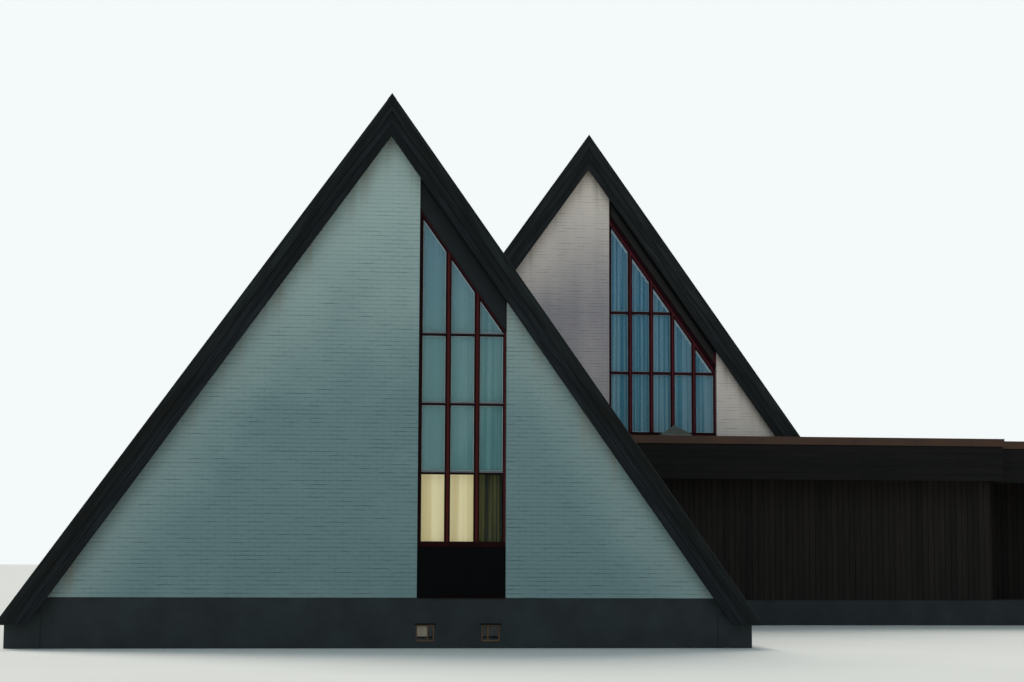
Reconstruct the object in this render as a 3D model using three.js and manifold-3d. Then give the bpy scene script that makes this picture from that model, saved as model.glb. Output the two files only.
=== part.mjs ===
// Modern church building: two steep gabled halls of white-painted brick, one behind the other,
// and a low flat-roofed block that carries the rear hall.
// Millimetres. X runs along the street front, Y away from it, Z up from the ground.
import * as THREE from "three";
import { mergeVertices } from "three/addons/utils/BufferGeometryUtils.js";
import Module from "manifold-3d";

const wasm = await Module();
wasm.setup();

// Driving dimensions
const GAP = 0.3; // joint left between pieces that touch
const PITCH = 1.41; // rise over run of both steep roofs
const WALL = 350; // painted brick outside, framed wall inside
const STILE = 62; // face widths of the window bars
const MULLION = 94;
const TRANSOM = 64;
const BAR_DEPTH = 90;
const REVEAL = 100; // from the brick face back to the window bars
const GLASS = 24;
const CURTAIN = 40;
const BOARD = 90; // the bargeboards' two layers together
const EAVE = 350; // from the brick face out to the bargeboards' face
const ROOF_COVER = 60; // plumb room over the roof slabs for their tiles

// The flat roof in front of, beside and behind the rear hall; its front edge steps back at stepX,
// and it is open under the rear hall as far as hallEdge
const FLAT_ROOF = {
  underside: 4200,
  top: 4550,
  left: 250,
  right: 20150,
  front: 11550,
  step: 12450,
  stepX: 15750,
  back: 27000,
  hallEdge: 10350,
};
const FASCIA = 48;
const FASCIA_RANGE = [3555, 4408];
const FLASHING = 30; // how far the flashing stands out from the fascia
const FLASHING_RANGE = [4410, 4600];

// Heights are over the ground, and distances across are from the hall's ridge. The window strip's
// slope is the height at which its sloping top edge would pass the ridge, and its rails are the bars
// along its foot and its slope.
const FRONT_HALL = {
  name: "front_hall",
  axis: 0,
  front: 0,
  length: FLAT_ROOF.front - FASCIA - FLASHING - 2 * GAP,
  ridge: 10080,
  roofDepth: 620, // plumb, as the bargeboards' depth is
  boardDepth: 780,
  foot: 600,
  boardFoot: 420,
  wallFoot: 900,
  strip: { left: 555, right: 2172, sill: 1812, slope: 8800 },
  rails: { foot: 100, slope: 48 },
  mullions: [1106, 1640],
  transoms: [3170, 4405, 5706],
};
const REAR_HALL = {
  name: "rear_hall",
  axis: 5560,
  front: 12550,
  length: 13500,
  ridge: 12107,
  roofDepth: 660,
  boardDepth: 860,
  foot: FLAT_ROOF.top,
  boardFoot: FLAT_ROOF.top + 10,
  wallFoot: FLAT_ROOF.top,
  strip: { left: 555, right: 3262, sill: 4680, slope: 11015 },
  rails: { foot: 64, slope: 145 },
  mullions: [1107, 1641, 2177, 2713],
  transoms: [6219, 7724],
};

const PLINTH_INNER = 6100; // inner face of the side plinths under the front hall
const PLINTH_SETBACK = 20;
const PANEL = [40, 300]; // the boarded panels over and under a window strip, from the brick face
const BACK_BOARD = 50; // bargeboards without an overhang, on the front hall's back gable
const BASEMENT_WINDOW = { centres: [715, 1905], sill: 120, width: 340, height: 300, pane: [100, 130] };

const BLOCK = {
  left: FLAT_ROOF.left,
  right: 19850,
  front: REAR_HALL.front,
  back: REAR_HALL.front + REAR_HALL.length,
  base: 620,
  porchLeft: 15800,
  porchBack: 14900,
  linkFront: FRONT_HALL.length + GAP,
  linkRight: 6050,
  passage: [1600, 4700], // between the link and the room under the rear hall
  passageHead: 2700,
};
const BEAM = { width: 250, depth: 800 };
const ROOFLIGHT = { x: 7660, y: 12050, size: 720, kerb: 90, rise: 240, shell: 30, hole: 560 };

const finish = (color, roughness, metalness = 0) => ({ color, roughness, metalness });
const BRICK = finish("#b9c2c0", 0.7);
const STAINED_BOARD = finish("#1a1b1b", 0.75);
const BROWN_BOARD = finish("#211a18", 0.75);
const RED_PAINT = finish("#6a1f1c", 0.45);
const PANE = finish("#8fa3a6", 0.1);
const CLOTH = finish("#c9cfc9", 0.9);
const CONCRETE = finish("#6f7a7e", 0.85);
const ROOFING = finish("#3b3a39", 0.8);
const SHEET_METAL = finish("#5a4a41", 0.45, 0.6);
const TIMBER = finish("#a98456", 0.6);
const ACRYLIC = finish("#8a8d8c", 0.25);

// Shapes
const points = (outline) => outline.map(([x, y]) => new THREE.Vector2(x, y));

const rectangle = (x0, x1, z0, z1) => [[x0, z0], [x1, z0], [x1, z1], [x0, z1]];
const mirrored = (outline) => outline.map(([x, z]) => [-x, z]);

function prism(outline, depth) {
  const options = { depth, bevelEnabled: false };
  return new THREE.ExtrudeGeometry(new THREE.Shape(points(outline)), options);
}

// An outline seen from the front, in X and Z, made solid from front to back
function upright(outline, front, back, openings = []) {
  const solid = prism(outline, back - front).rotateX(Math.PI / 2).translate(0, back, 0);
  return cut(solid, openings.map((opening) => upright(opening, front - 1, back + 1)));
}

// A plan outline, in X and Y, made solid from bottom to top
function flat(outline, bottom, top, openings = []) {
  const solid = prism(outline, top - bottom).translate(0, 0, bottom);
  return cut(solid, openings.map((opening) => flat(opening, bottom - 1, top + 1)));
}

// An outline seen from the side, in Y and Z, made solid from left to right
function sideways(outline, left, right) {
  return prism(outline, right - left).rotateX(Math.PI / 2).rotateZ(Math.PI / 2).translate(left, 0, 0);
}

function asSolid(geometry) {
  const bare = geometry.clone().deleteAttribute("normal").deleteAttribute("uv");
  const merged = mergeVertices(bare, 1e-3);
  const triVerts = new Uint32Array(merged.index.array);
  return new wasm.Manifold(
    new wasm.Mesh({ numProp: 3, vertProperties: merged.attributes.position.array, triVerts }),
  );
}

function cut(geometry, cutters) {
  if (!cutters.length) return geometry;
  const rest = cutters.reduce((left, cutter) => left.subtract(asSolid(cutter)), asSolid(geometry));
  const mesh = rest.getMesh();
  const result = new THREE.BufferGeometry();
  result.setAttribute("position", new THREE.BufferAttribute(mesh.vertProperties, 3));
  return result.setIndex(new THREE.BufferAttribute(mesh.triVerts, 1));
}

function block([x0, x1], [y0, y1], [z0, z1]) {
  const geometry = new THREE.BoxGeometry(x1 - x0, y1 - y0, z1 - z0);
  return geometry.translate((x0 + x1) / 2, (y0 + y1) / 2, (z0 + z1) / 2);
}

function piece(parent, name, geometry, look) {
  const mesh = new THREE.Mesh(geometry, new THREE.MeshStandardMaterial(look));
  mesh.name = name;
  parent.add(mesh);
}

// Slope lines: a line that passes the height top over the hall's axis and falls at the roof pitch
const heightAt = (top, x) => top - PITCH * Math.abs(x);
const reachAt = (top, z) => (top - z) / PITCH;

// The part of an outline that lies under a slope line on the right of the axis
function underSlope(outline, top) {
  const over = ([x, z]) => z - heightAt(top, x);
  const kept = [];
  outline.forEach((a, i) => {
    const b = outline[(i + 1) % outline.length];
    if (over(a) <= 0) kept.push(a);
    if (over(a) * over(b) < 0) {
      const t = over(a) / (over(a) - over(b));
      kept.push([a[0] + t * (b[0] - a[0]), a[1] + t * (b[1] - a[1])]);
    }
  });
  return kept;
}

// Roof slopes and bargeboards
const slopeBand = (ridge, depth, foot) => [
  [GAP / 2, heightAt(ridge, GAP / 2)],
  [reachAt(ridge, foot), foot],
  [reachAt(ridge - depth, foot), foot],
  [GAP / 2, heightAt(ridge - depth, GAP / 2)],
];

function addRoof(group, hall, backEnd) {
  const band = slopeBand(hall.ridge - ROOF_COVER, hall.roofDepth - ROOF_COVER, hall.foot + GAP);
  const front = -EAVE + BOARD + GAP;
  piece(group, `${hall.name}_roof_left`, upright(mirrored(band), front, backEnd), ROOFING);
  piece(group, `${hall.name}_roof_right`, upright(band, front, backEnd), ROOFING);
}

function addBargeboards(group, hall, end, front, back, leftFoot, rightFoot) {
  const left = slopeBand(hall.ridge, hall.boardDepth, leftFoot);
  const right = slopeBand(hall.ridge, hall.boardDepth, rightFoot);
  const name = `${hall.name}_${end}_bargeboard`;
  piece(group, `${name}_left`, upright(mirrored(left), front, back), STAINED_BOARD);
  piece(group, `${name}_right`, upright(right, front, back), STAINED_BOARD);
}

// Gable walls
const underRoof = (hall) => hall.ridge - hall.roofDepth - 2 * GAP;

function gableWallLeft(hall) {
  const top = underRoof(hall);
  const foot = hall.wallFoot + GAP;
  const edge = hall.strip.left;
  return [[-reachAt(top, foot), foot], [edge, foot], [edge, heightAt(top, edge)], [0, top]];
}

function gableWallRight(hall) {
  const top = underRoof(hall);
  const foot = hall.wallFoot + GAP;
  const edge = hall.strip.right;
  return [[edge, foot], [reachAt(top, foot), foot], [edge, heightAt(top, edge)]];
}

// The window strip: bars, one sheet of glass behind them, boarding above, a curtain inside
function paneOutlines(hall) {
  const { left, right, sill, slope } = hall.strip;
  const sides = (centres, width) => centres.flatMap((at) => [at - width / 2, at + width / 2]);
  const columns = [left + STILE, ...sides(hall.mullions, MULLION), right - STILE];
  const rows = [sill + hall.rails.foot, ...sides(hall.transoms, TRANSOM), hall.ridge];
  const railUnderside = slope - hall.rails.slope * Math.hypot(1, PITCH);
  const panes = [];
  for (let c = 0; c < columns.length; c += 2) {
    for (let r = 0; r < rows.length; r += 2) {
      const full = rectangle(columns[c], columns[c + 1], rows[r], rows[r + 1]);
      const pane = underSlope(full, railUnderside);
      if (pane.length > 2) panes.push(pane);
    }
  }
  return panes;
}

function stripOutline(hall, bottom, top, inset) {
  const { left, right } = hall.strip;
  const [x0, x1] = [left + inset, right - inset];
  return [[x0, bottom], [x1, bottom], [x1, heightAt(top, x1)], [x0, heightAt(top, x0)]];
}

function addWindow(group, hall, name, bars, glass) {
  const outline = stripOutline(hall, hall.strip.sill, hall.strip.slope, GAP);
  piece(group, `${name}_window_frame`, upright(outline, ...bars, paneOutlines(hall)), RED_PAINT);
  piece(group, `${name}_window_glass`, upright(outline, ...glass), PANE);
}

function addSpandrel(group, hall) {
  const { left, right, slope } = hall.strip;
  const [x0, x1] = [left + GAP, right - GAP];
  const [low, high] = [slope + GAP, underRoof(hall)];
  const outline = [
    [x0, heightAt(low, x0)], [x1, heightAt(low, x1)], [x1, heightAt(high, x1)], [x0, heightAt(high, x0)],
  ];
  piece(group, `${hall.name}_front_spandrel`, upright(outline, ...PANEL), STAINED_BOARD);
}

function addApron(group, hall) {
  const { left, right, sill } = hall.strip;
  const height = [hall.wallFoot + GAP, sill - GAP];
  const apron = block([left + GAP, right - GAP], PANEL, height);
  piece(group, `${hall.name}_front_apron`, apron, STAINED_BOARD);
}

function addCurtain(group, hall) {
  const foot = hall.wallFoot + 20;
  const outline = stripOutline(hall, foot, hall.strip.slope + 300, -150);
  const front = WALL + GAP;
  piece(group, `${hall.name}_front_curtain`, upright(outline, front, front + CURTAIN), CLOTH);
}

function addFrontGable(group, hall) {
  piece(group, `${hall.name}_front_wall_left`, upright(gableWallLeft(hall), 0, WALL), BRICK);
  piece(group, `${hall.name}_front_wall_right`, upright(gableWallRight(hall), 0, WALL), BRICK);
  addSpandrel(group, hall);
  addApron(group, hall);
  const bars = [REVEAL, REVEAL + BAR_DEPTH];
  addWindow(group, hall, `${hall.name}_front`, bars, [bars[1] + GAP, bars[1] + GAP + GLASS]);
  addCurtain(group, hall);
}

function hallGroup(hall) {
  const group = new THREE.Group();
  group.position.set(hall.axis, hall.front, 0);
  return group;
}

// Front hall: from the ground up on a concrete plinth with two basement windows
function frontHall() {
  const hall = FRONT_HALL;
  const group = hallGroup(hall);
  const under = underRoof(hall);
  const inner = PLINTH_INNER - GAP;
  const seat = hall.foot + 2 * GAP;
  const lowerOutline = [[inner, 0], [inner, seat], [reachAt(under, seat), seat]];
  const { centres, sill, width, height, pane } = BASEMENT_WINDOW;

  const plinthTop = [reachAt(under, hall.wallFoot), hall.wallFoot];
  const halfPlinth = [...lowerOutline, plinthTop];
  const plinth = [...halfPlinth, ...mirrored(halfPlinth).reverse()];
  const openings = centres.map((x) => rectangle(x - width / 2, x + width / 2, sill, sill + height));
  const plinthFront = upright(plinth, PLINTH_SETBACK, WALL, openings);
  piece(group, `${hall.name}_plinth_front`, plinthFront, CONCRETE);
  ["left", "right"].forEach((side, i) => {
    const across = [centres[i] - width / 2 + GAP, centres[i] + width / 2 - GAP];
    const up = [sill + GAP, sill + height - GAP];
    piece(group, `${hall.name}_basement_window_${side}`, block(across, pane, up), PANE);
  });

  const outer = reachAt(hall.ridge, hall.foot);
  const side = [0, hall.length];
  piece(group, `${hall.name}_plinth_left`, block([-outer, -PLINTH_INNER], side, [0, hall.foot]), CONCRETE);
  piece(group, `${hall.name}_plinth_right`, block([PLINTH_INNER, outer], side, [0, hall.foot]), CONCRETE);

  const floorEdge = [[reachAt(under, seat), seat], plinthTop];
  const floor = [...floorEdge, ...mirrored(floorEdge).reverse()];
  const backWall = hall.length - WALL;
  piece(group, `${hall.name}_floor`, upright(floor, WALL + GAP, backWall - GAP), CONCRETE);

  addFrontGable(group, hall);
  const gable = [...lowerOutline, [0, under], ...mirrored(lowerOutline).reverse()];
  piece(group, `${hall.name}_back_wall`, upright(gable, backWall, hall.length), BRICK);
  addRoof(group, hall, hall.length);
  addBargeboards(group, hall, "front", -EAVE, -EAVE + BOARD, hall.boardFoot, hall.boardFoot);
  const [from, to] = [hall.length + GAP, hall.length + BACK_BOARD];
  addBargeboards(group, hall, "back", from, to, hall.boardFoot, FLASHING_RANGE[1] + 20);
  return group;
}

// Rear hall: stands on the flat roof of the block and is open to the room below
function rearHall() {
  const hall = REAR_HALL;
  const group = hallGroup(hall);
  addFrontGable(group, hall);

  const reach = reachAt(underRoof(hall), hall.wallFoot + GAP);
  const gable = [[-reach, hall.wallFoot + GAP], [reach, hall.wallFoot + GAP], [0, underRoof(hall)]];
  const opening = stripOutline(hall, hall.strip.sill - GAP, hall.strip.slope + GAP, 0);
  const backWall = hall.length - WALL;
  piece(group, `${hall.name}_back_wall`, upright(gable, backWall, hall.length, [opening]), BRICK);
  const bars = [hall.length - REVEAL - BAR_DEPTH, hall.length - REVEAL];
  addWindow(group, hall, `${hall.name}_back`, bars, [bars[0] - GAP - GLASS, bars[0] - GAP]);

  const end = hall.length + EAVE - BOARD;
  addRoof(group, hall, end - GAP);
  addBargeboards(group, hall, "front", -EAVE, -EAVE + BOARD, hall.boardFoot, hall.boardFoot);
  addBargeboards(group, hall, "back", end, end + BOARD, hall.boardFoot, hall.boardFoot);
  return group;
}

// The link's two side walls close the gap to the front hall; their heads step down under the fascia
function linkWalls(group) {
  const { left, front, base, linkFront, linkRight } = BLOCK;
  const [foot, low, high] = [base + GAP, FASCIA_RANGE[0] - GAP, FLAT_ROOF.underside - GAP];
  const [fasciaBack, end] = [FLAT_ROOF.front, front - GAP];
  const side = [
    [linkFront, foot], [end, foot], [end, high], [fasciaBack, high], [fasciaBack, low], [linkFront, low],
  ];
  piece(group, "link_wall_left", sideways(side, left, left + WALL), BROWN_BOARD);
  piece(group, "link_wall_right", sideways(side, linkRight - WALL, linkRight), BROWN_BOARD);
}

// The block under the rear hall: base, boarded walls and a porch under the flat roof
function blockWalls(group) {
  const { left, right, front, back, base, porchLeft, porchBack, linkFront, linkRight } = BLOCK;
  const height = [base + GAP, FLAT_ROOF.underside - GAP];
  const plan = [
    [left, linkFront], [linkRight, linkFront], [linkRight, front], [right, front], [right, back], [left, back],
  ];
  piece(group, "block_base", flat(plan, 0, base), CONCRETE);
  linkWalls(group);
  const passage = rectangle(...BLOCK.passage, base, BLOCK.passageHead);
  const frontWall = upright(rectangle(left, porchLeft, ...height), front, front + WALL, [passage]);
  piece(group, "block_front_wall", frontWall, BROWN_BOARD);
  const [x0, x1] = [porchLeft - WALL, right - WALL - GAP];
  const returnFront = front + WALL + GAP;
  const porch = [
    [x0, returnFront], [porchLeft, returnFront], [porchLeft, porchBack],
    [x1, porchBack], [x1, porchBack + WALL], [x0, porchBack + WALL],
  ];
  piece(group, "block_porch_wall", flat(porch, ...height), BROWN_BOARD);
  piece(group, "block_end_wall", block([right - WALL, right], [front, back], height), BROWN_BOARD);
  const backWall = block([left, right - WALL - GAP], [back - WALL, back], height);
  piece(group, "block_back_wall", backWall, BROWN_BOARD);

  // The rear hall's left slope stands on the left wall, and its right slope on the flat roof's edge
  const between = [front + WALL + GAP, back - WALL - GAP];
  const leftWall = block([left, left + WALL], between, [height[0], FLAT_ROOF.top]);
  piece(group, "block_left_wall", leftWall, BROWN_BOARD);
  const beamWidth = [FLAT_ROOF.hallEdge, FLAT_ROOF.hallEdge + BEAM.width];
  const beam = block(beamWidth, between, [height[1] - BEAM.depth, height[1]]);
  piece(group, "block_hall_beam", beam, TIMBER);
}

function flatRoof(group) {
  const { underside, top, left, right, front, step, stepX, back, hallEdge } = FLAT_ROOF;
  const inside = BLOCK.front + WALL;
  const behind = BLOCK.back - WALL;
  const slab = [underside, top];
  const frontOutline = [
    [left, front], [stepX, front], [stepX, step], [right, step], [right, inside], [left, inside],
  ];
  const { x, y, size, kerb, rise, shell, hole } = ROOFLIGHT;
  const light = rectangle(x - hole / 2, x + hole / 2, y - hole / 2, y + hole / 2);
  piece(group, "block_roof_front", flat(frontOutline, ...slab, [light]), ROOFING);
  const beside = block([hallEdge, right], [inside + GAP, behind - GAP], slab);
  piece(group, "block_roof_right", beside, ROOFING);
  piece(group, "block_roof_back", block([left, right], [behind, back], slab), ROOFING);

  const corner = (size / 2) * Math.SQRT2;
  const profile = [
    [0, kerb + rise - shell], [corner - 2 * shell, kerb - shell], [corner - 2 * shell, GAP],
    [corner, GAP], [corner, kerb], [0, kerb + rise],
  ];
  const dome = new THREE.LatheGeometry(points(profile), 4, Math.PI / 4).rotateX(Math.PI / 2);
  piece(group, "block_rooflight", dome.translate(x, y, top), ACRYLIC);
}

// The flat roof's edge at a distance out from it, from the rear hall's left front corner round to its
// left back corner
function roofEdge(out) {
  const { left, right, front, step, stepX, back } = FLAT_ROOF;
  const [x0, x1, x2] = [left - out, stepX + out, right + out];
  const [y0, y1, y2] = [front - out, step - out, back + out];
  const hallFront = REAR_HALL.front - EAVE - GAP;
  const hallBack = REAR_HALL.front + REAR_HALL.length + EAVE + GAP;
  return [[x0, hallFront], [x0, y0], [x1, y0], [x1, y1], [x2, y1], [x2, y2], [x0, y2], [x0, hallBack]];
}

// Boards and flashing that follow a run of that edge, from one of its corners to another
function edgeBand(from, to, thickness, [bottom, top]) {
  const outside = roofEdge(GAP + thickness).slice(from, to + 1);
  const inside = roofEdge(GAP).slice(from, to + 1);
  return flat([...outside, ...inside.reverse()], bottom, top);
}

function fasciaAndFlashing(group) {
  const runs = { front: [0, 3], step: [3, 4], right: [4, 5], back: [5, 7] };
  for (const [side, [from, to]] of Object.entries(runs)) {
    piece(group, `block_fascia_${side}`, edgeBand(from, to, FASCIA, FASCIA_RANGE), BROWN_BOARD);
  }
  const flashing = edgeBand(0, 7, FASCIA + FLASHING, FLASHING_RANGE);
  piece(group, "block_roof_flashing", flashing, SHEET_METAL);
}

// The whole church, with its origin under the middle of its plan
const church = new THREE.Group();
const rearBlock = new THREE.Group();
blockWalls(rearBlock);
flatRoof(rearBlock);
fasciaAndFlashing(rearBlock);
church.add(frontHall(), rearHall(), rearBlock);

const edge = FASCIA + FLASHING + GAP;
const extentX = [-reachAt(FRONT_HALL.ridge, FRONT_HALL.boardFoot), FLAT_ROOF.right + edge];
const extentY = [-EAVE, FLAT_ROOF.back + edge];
church.position.set(-(extentX[0] + extentX[1]) / 2, -(extentY[0] + extentY[1]) / 2, 0);

const part = new THREE.Group();
part.add(church);
export default part;
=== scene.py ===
# %% [markdown]
# # A modern church
# Two steep gabled halls of white-painted brick stand one behind the other, and the rear one rises
# through a low flat-roofed block. The frame gives the walls, slabs and roofs as plain solids, in
# metres. This lesson lays the bricks, boards, tiles, window bars and curtains on them, and gives
# every surface a finish made of nodes.

# %% Load the frame
import math
import random

import bmesh
import bpy
from mathutils import Matrix, Vector


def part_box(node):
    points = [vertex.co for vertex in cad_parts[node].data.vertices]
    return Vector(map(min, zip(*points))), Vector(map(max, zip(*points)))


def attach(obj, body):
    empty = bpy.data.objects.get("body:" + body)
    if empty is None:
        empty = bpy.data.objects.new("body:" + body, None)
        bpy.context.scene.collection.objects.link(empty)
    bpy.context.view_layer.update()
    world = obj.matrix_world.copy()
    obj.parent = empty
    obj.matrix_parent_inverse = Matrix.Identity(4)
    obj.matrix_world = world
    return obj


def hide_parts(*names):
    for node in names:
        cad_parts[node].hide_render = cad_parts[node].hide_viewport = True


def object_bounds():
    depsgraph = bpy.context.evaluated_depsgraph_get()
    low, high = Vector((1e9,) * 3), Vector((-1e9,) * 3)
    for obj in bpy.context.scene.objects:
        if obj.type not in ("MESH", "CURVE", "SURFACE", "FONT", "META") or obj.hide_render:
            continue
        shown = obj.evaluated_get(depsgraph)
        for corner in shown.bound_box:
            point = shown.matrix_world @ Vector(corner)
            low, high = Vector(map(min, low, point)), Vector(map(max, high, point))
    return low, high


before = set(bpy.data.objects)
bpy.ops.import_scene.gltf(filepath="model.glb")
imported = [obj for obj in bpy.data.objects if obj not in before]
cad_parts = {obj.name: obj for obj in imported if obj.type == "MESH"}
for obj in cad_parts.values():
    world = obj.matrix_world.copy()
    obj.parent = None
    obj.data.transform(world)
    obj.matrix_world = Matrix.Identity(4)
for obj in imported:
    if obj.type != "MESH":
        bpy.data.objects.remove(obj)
cad_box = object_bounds()
size = [round(side, 3) for side in cad_box[1] - cad_box[0]]
print("frame:", len(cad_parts), "nodes in a box of", size, "m")

# %% [markdown]
# ## Where the halls are
# Every piece below follows a hall's ridge line, its brick face and its window strip. They could be
# typed in as numbers, but reading them from the solids' boxes keeps the dressing on the walls. Both
# steep roofs fall 1.41 m for each metre across, and the solids leave 0.3 mm between each other. Only
# the line of the front hall's sloping window rail is moved, 10 mm up, to lie closer to the panel.

# %% Read the halls
PITCH = 1.41
JOINT = 0.0003
SLOPE = math.atan(PITCH)
PLUMB = math.hypot(1, PITCH)  # turns a thickness square to the roof into a plumb one
TILE_ROOM = 0.06  # how far the roof's solid lies under the ridge of the bargeboards


def read_hall(name, board_depth, roof_depth):
    """The lines of a hall: its ridge, brick face, roof underside and window strip"""
    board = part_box(f"{name}_front_bargeboard_left")
    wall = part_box(f"{name}_front_wall_left")
    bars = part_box(f"{name}_front_window_frame")
    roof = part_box(f"{name}_roof_left")
    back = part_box(f"{name}_back_wall")
    axis = board[1].x + JOINT / 2
    ridge = board[1].z + PITCH * JOINT / 2
    left = wall[1].x - axis
    return {
        "name": name, "axis": axis, "ridge": ridge, "face": wall[0].y, "back": back[1].y,
        "wall_top": ridge - roof_depth - 2 * JOINT, "wall_foot": wall[0].z, "board_depth": board_depth,
        "roof_top": ridge - TILE_ROOM, "roof_foot": roof[0].z, "roof_y": (roof[0].y, roof[1].y),
        "left": left, "right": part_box(f"{name}_front_wall_right")[0].x - axis,
        "sill": bars[0].z, "slope": bars[1].z + PITCH * (left + JOINT),
    }


FRONT = read_hall("front_hall", 0.78, 0.62)
REAR = read_hall("rear_hall", 0.86, 0.66)
FRONT["slope"] += 0.010
for hall in (FRONT, REAR):
    print(hall["name"], {key: round(hall[key], 3) for key in ("axis", "face", "ridge", "slope")})

# %% [markdown]
# ## The camera
# The camera is at eye height, 36.6 m in front of the front gable and a little left of its ridge,
# with a long lens pointed slightly up and to the right. A camera looks along its own -Z, so its
# three axes are written as the columns of a matrix: right, up and backwards.

# %% Place the camera
IMAGE_WIDTH = 1024
FOCAL_PIXELS = 2012
EYE = Vector((FRONT["axis"] - 1.86, FRONT["face"] - 36.57, 1.62))
YAW, TILT, ROLL = math.radians(6.44), math.radians(6.16), math.radians(0.24)

forward = Vector((math.sin(YAW) * math.cos(TILT), math.cos(YAW) * math.cos(TILT), math.sin(TILT)))
level = Vector((math.cos(YAW), -math.sin(YAW), 0))
upright = level.cross(forward)
right = level * math.cos(ROLL) + upright * math.sin(ROLL)
up = upright * math.cos(ROLL) - level * math.sin(ROLL)
lens = bpy.data.cameras.new("View")
lens.sensor_width = 36
lens.lens = FOCAL_PIXELS / IMAGE_WIDTH * lens.sensor_width
lens.clip_end = 1000
camera = bpy.data.objects.new("View", lens)
turn = Matrix((right, up, -forward)).transposed()
camera.matrix_world = Matrix.Translation(EYE) @ turn.to_4x4()
bpy.context.scene.collection.objects.link(camera)
bpy.context.scene.camera = camera
print("camera:", round(lens.lens, 1), "mm at", [round(c, 2) for c in EYE])

# %% [markdown]
# ## Adding nodes and mixing colours
# A material is a small tree of nodes. One helper adds a node with its settings, and gives each of
# its inputs a value or a link. Colours are written as sRGB hex values, as a paint chart gives them,
# and one function turns them to the linear light that shaders work in.

# %% Node and colour helpers
def add(tree, kind, inputs=None, **settings):
    """Adds a node with its settings, and fills its inputs with values or links"""
    made = tree.nodes.new(kind)
    for name, value in settings.items():
        setattr(made, name, value)
    for name, value in (inputs or {}).items():
        if isinstance(value, bpy.types.NodeSocket):
            tree.links.new(value, made.inputs[name])
        else:
            made.inputs[name].default_value = value
    return made


def linear(code):
    """An sRGB hex value as linear red, green, blue and alpha"""
    parts = [int(code[i:i + 2], 16) / 255 for i in (1, 3, 5)]
    return [c / 12.92 if c < 0.04045 else ((c + 0.055) / 1.055) ** 2.4 for c in parts] + [1]


def finish(name, **constants):
    """A new Principled material with its constants, and the object coordinates it reads"""
    made = bpy.data.materials.new(name)
    made.use_nodes = True
    tree = made.node_tree
    shader = tree.nodes["Principled BSDF"]
    for socket, value in constants.items():
        shader.inputs[socket.replace("_", " ")].default_value = value
    return made, tree, shader, add(tree, "ShaderNodeTexCoord").outputs["Object"]


# %% [markdown]
# ## The studio
# A plain pale floor and a soft, pale surround. The real building stands against the light, with its
# gables in even shade, so the key light is broad and comes from above and behind, the surround is
# dimmer towards the front, and the floor throws light back up onto the brick. What the camera sees
# behind the building is a plain pale backdrop.

# %% Floor, surround and lights
bpy.context.scene.view_settings.view_transform = "Standard"
bpy.context.scene.view_settings.look = "None"

bpy.ops.object.select_all(action="DESELECT")
bpy.ops.mesh.primitive_plane_add(size=700, location=(0, 0, -0.004))
floor = bpy.context.object
floor.name = "studio_floor"
floor_paint, tree, shader, place = finish("matt studio paint, rolled", Roughness=0.95)
mottle = add(tree, "ShaderNodeTexNoise", {"Vector": place, "Scale": 0.35, "Detail": 3})
tones = {0: mottle.outputs[0], 6: linear("#f6f8f7"), 7: linear("#eff1f0")}
mix = add(tree, "ShaderNodeMix", tones, data_type="RGBA")
tree.links.new(mix.outputs[2], shader.inputs["Base Color"])
floor.data.materials.append(floor_paint)

world = bpy.data.worlds.new("Studio surround")
bpy.context.scene.world = world
world.use_nodes = True
tree = world.node_tree
backdrop = add(tree, "ShaderNodeBackground", {"Color": linear("#f4f9fa"), "Strength": 1.0})
surround = tree.nodes["Background"]
surround.inputs["Color"].default_value = linear("#d3e2e6")
surround.inputs["Strength"].default_value = 0.38
seen = add(tree, "ShaderNodeLightPath").outputs["Is Camera Ray"]
either = add(tree, "ShaderNodeMixShader", {0: seen, 1: surround.outputs[0], 2: backdrop.outputs[0]})
tree.links.new(either.outputs[0], tree.nodes["World Output"].inputs["Surface"])


def soft_sun(name, strength, towards, angle, colour):
    """A far light with a wide disc, pointed along a direction"""
    lamp = bpy.data.lights.new(name, "SUN")
    lamp.energy = strength
    lamp.angle = math.radians(angle)
    lamp.color = linear(colour)[:3]
    holder = bpy.data.objects.new(name, lamp)
    holder.rotation_euler = Vector(towards).to_track_quat("-Z", "Y").to_euler()
    bpy.context.scene.collection.objects.link(holder)


soft_sun("Key light", 1.9, (0.35, -0.6, -0.9), 40, "#fff6ea")
soft_sun("Fill light", 0.75, (0.25, 0.9, -0.3), 50, "#e2f0f3")
print("studio: floor, surround and", len(bpy.data.lights), "lights")

# %% [markdown]
# ## How the gables darken
# The white-painted brick is lighter under the ridge and darker downwards, and a band along the
# slopes is kept lighter under the boards. The rear gable is darker on the left of its window: painted
# shade. This could be painted by hand on the mesh, but a few nodes work it out from Object
# coordinates in metres: how far a point is below the top, and how far under the slope, which follows
# from its distance to the ridge. Slow clouds keep it from being even.

# %% Darkening from the slopes down
# for each hall: how far down it darkens, how much the clouds change that, and how they are stretched
DARKENING = {"front_hall": (5.2, 0.12, (1, 1, 1)), "rear_hall": (3.7, 0.20, (1.3, 1.3, 0.25))}


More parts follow.
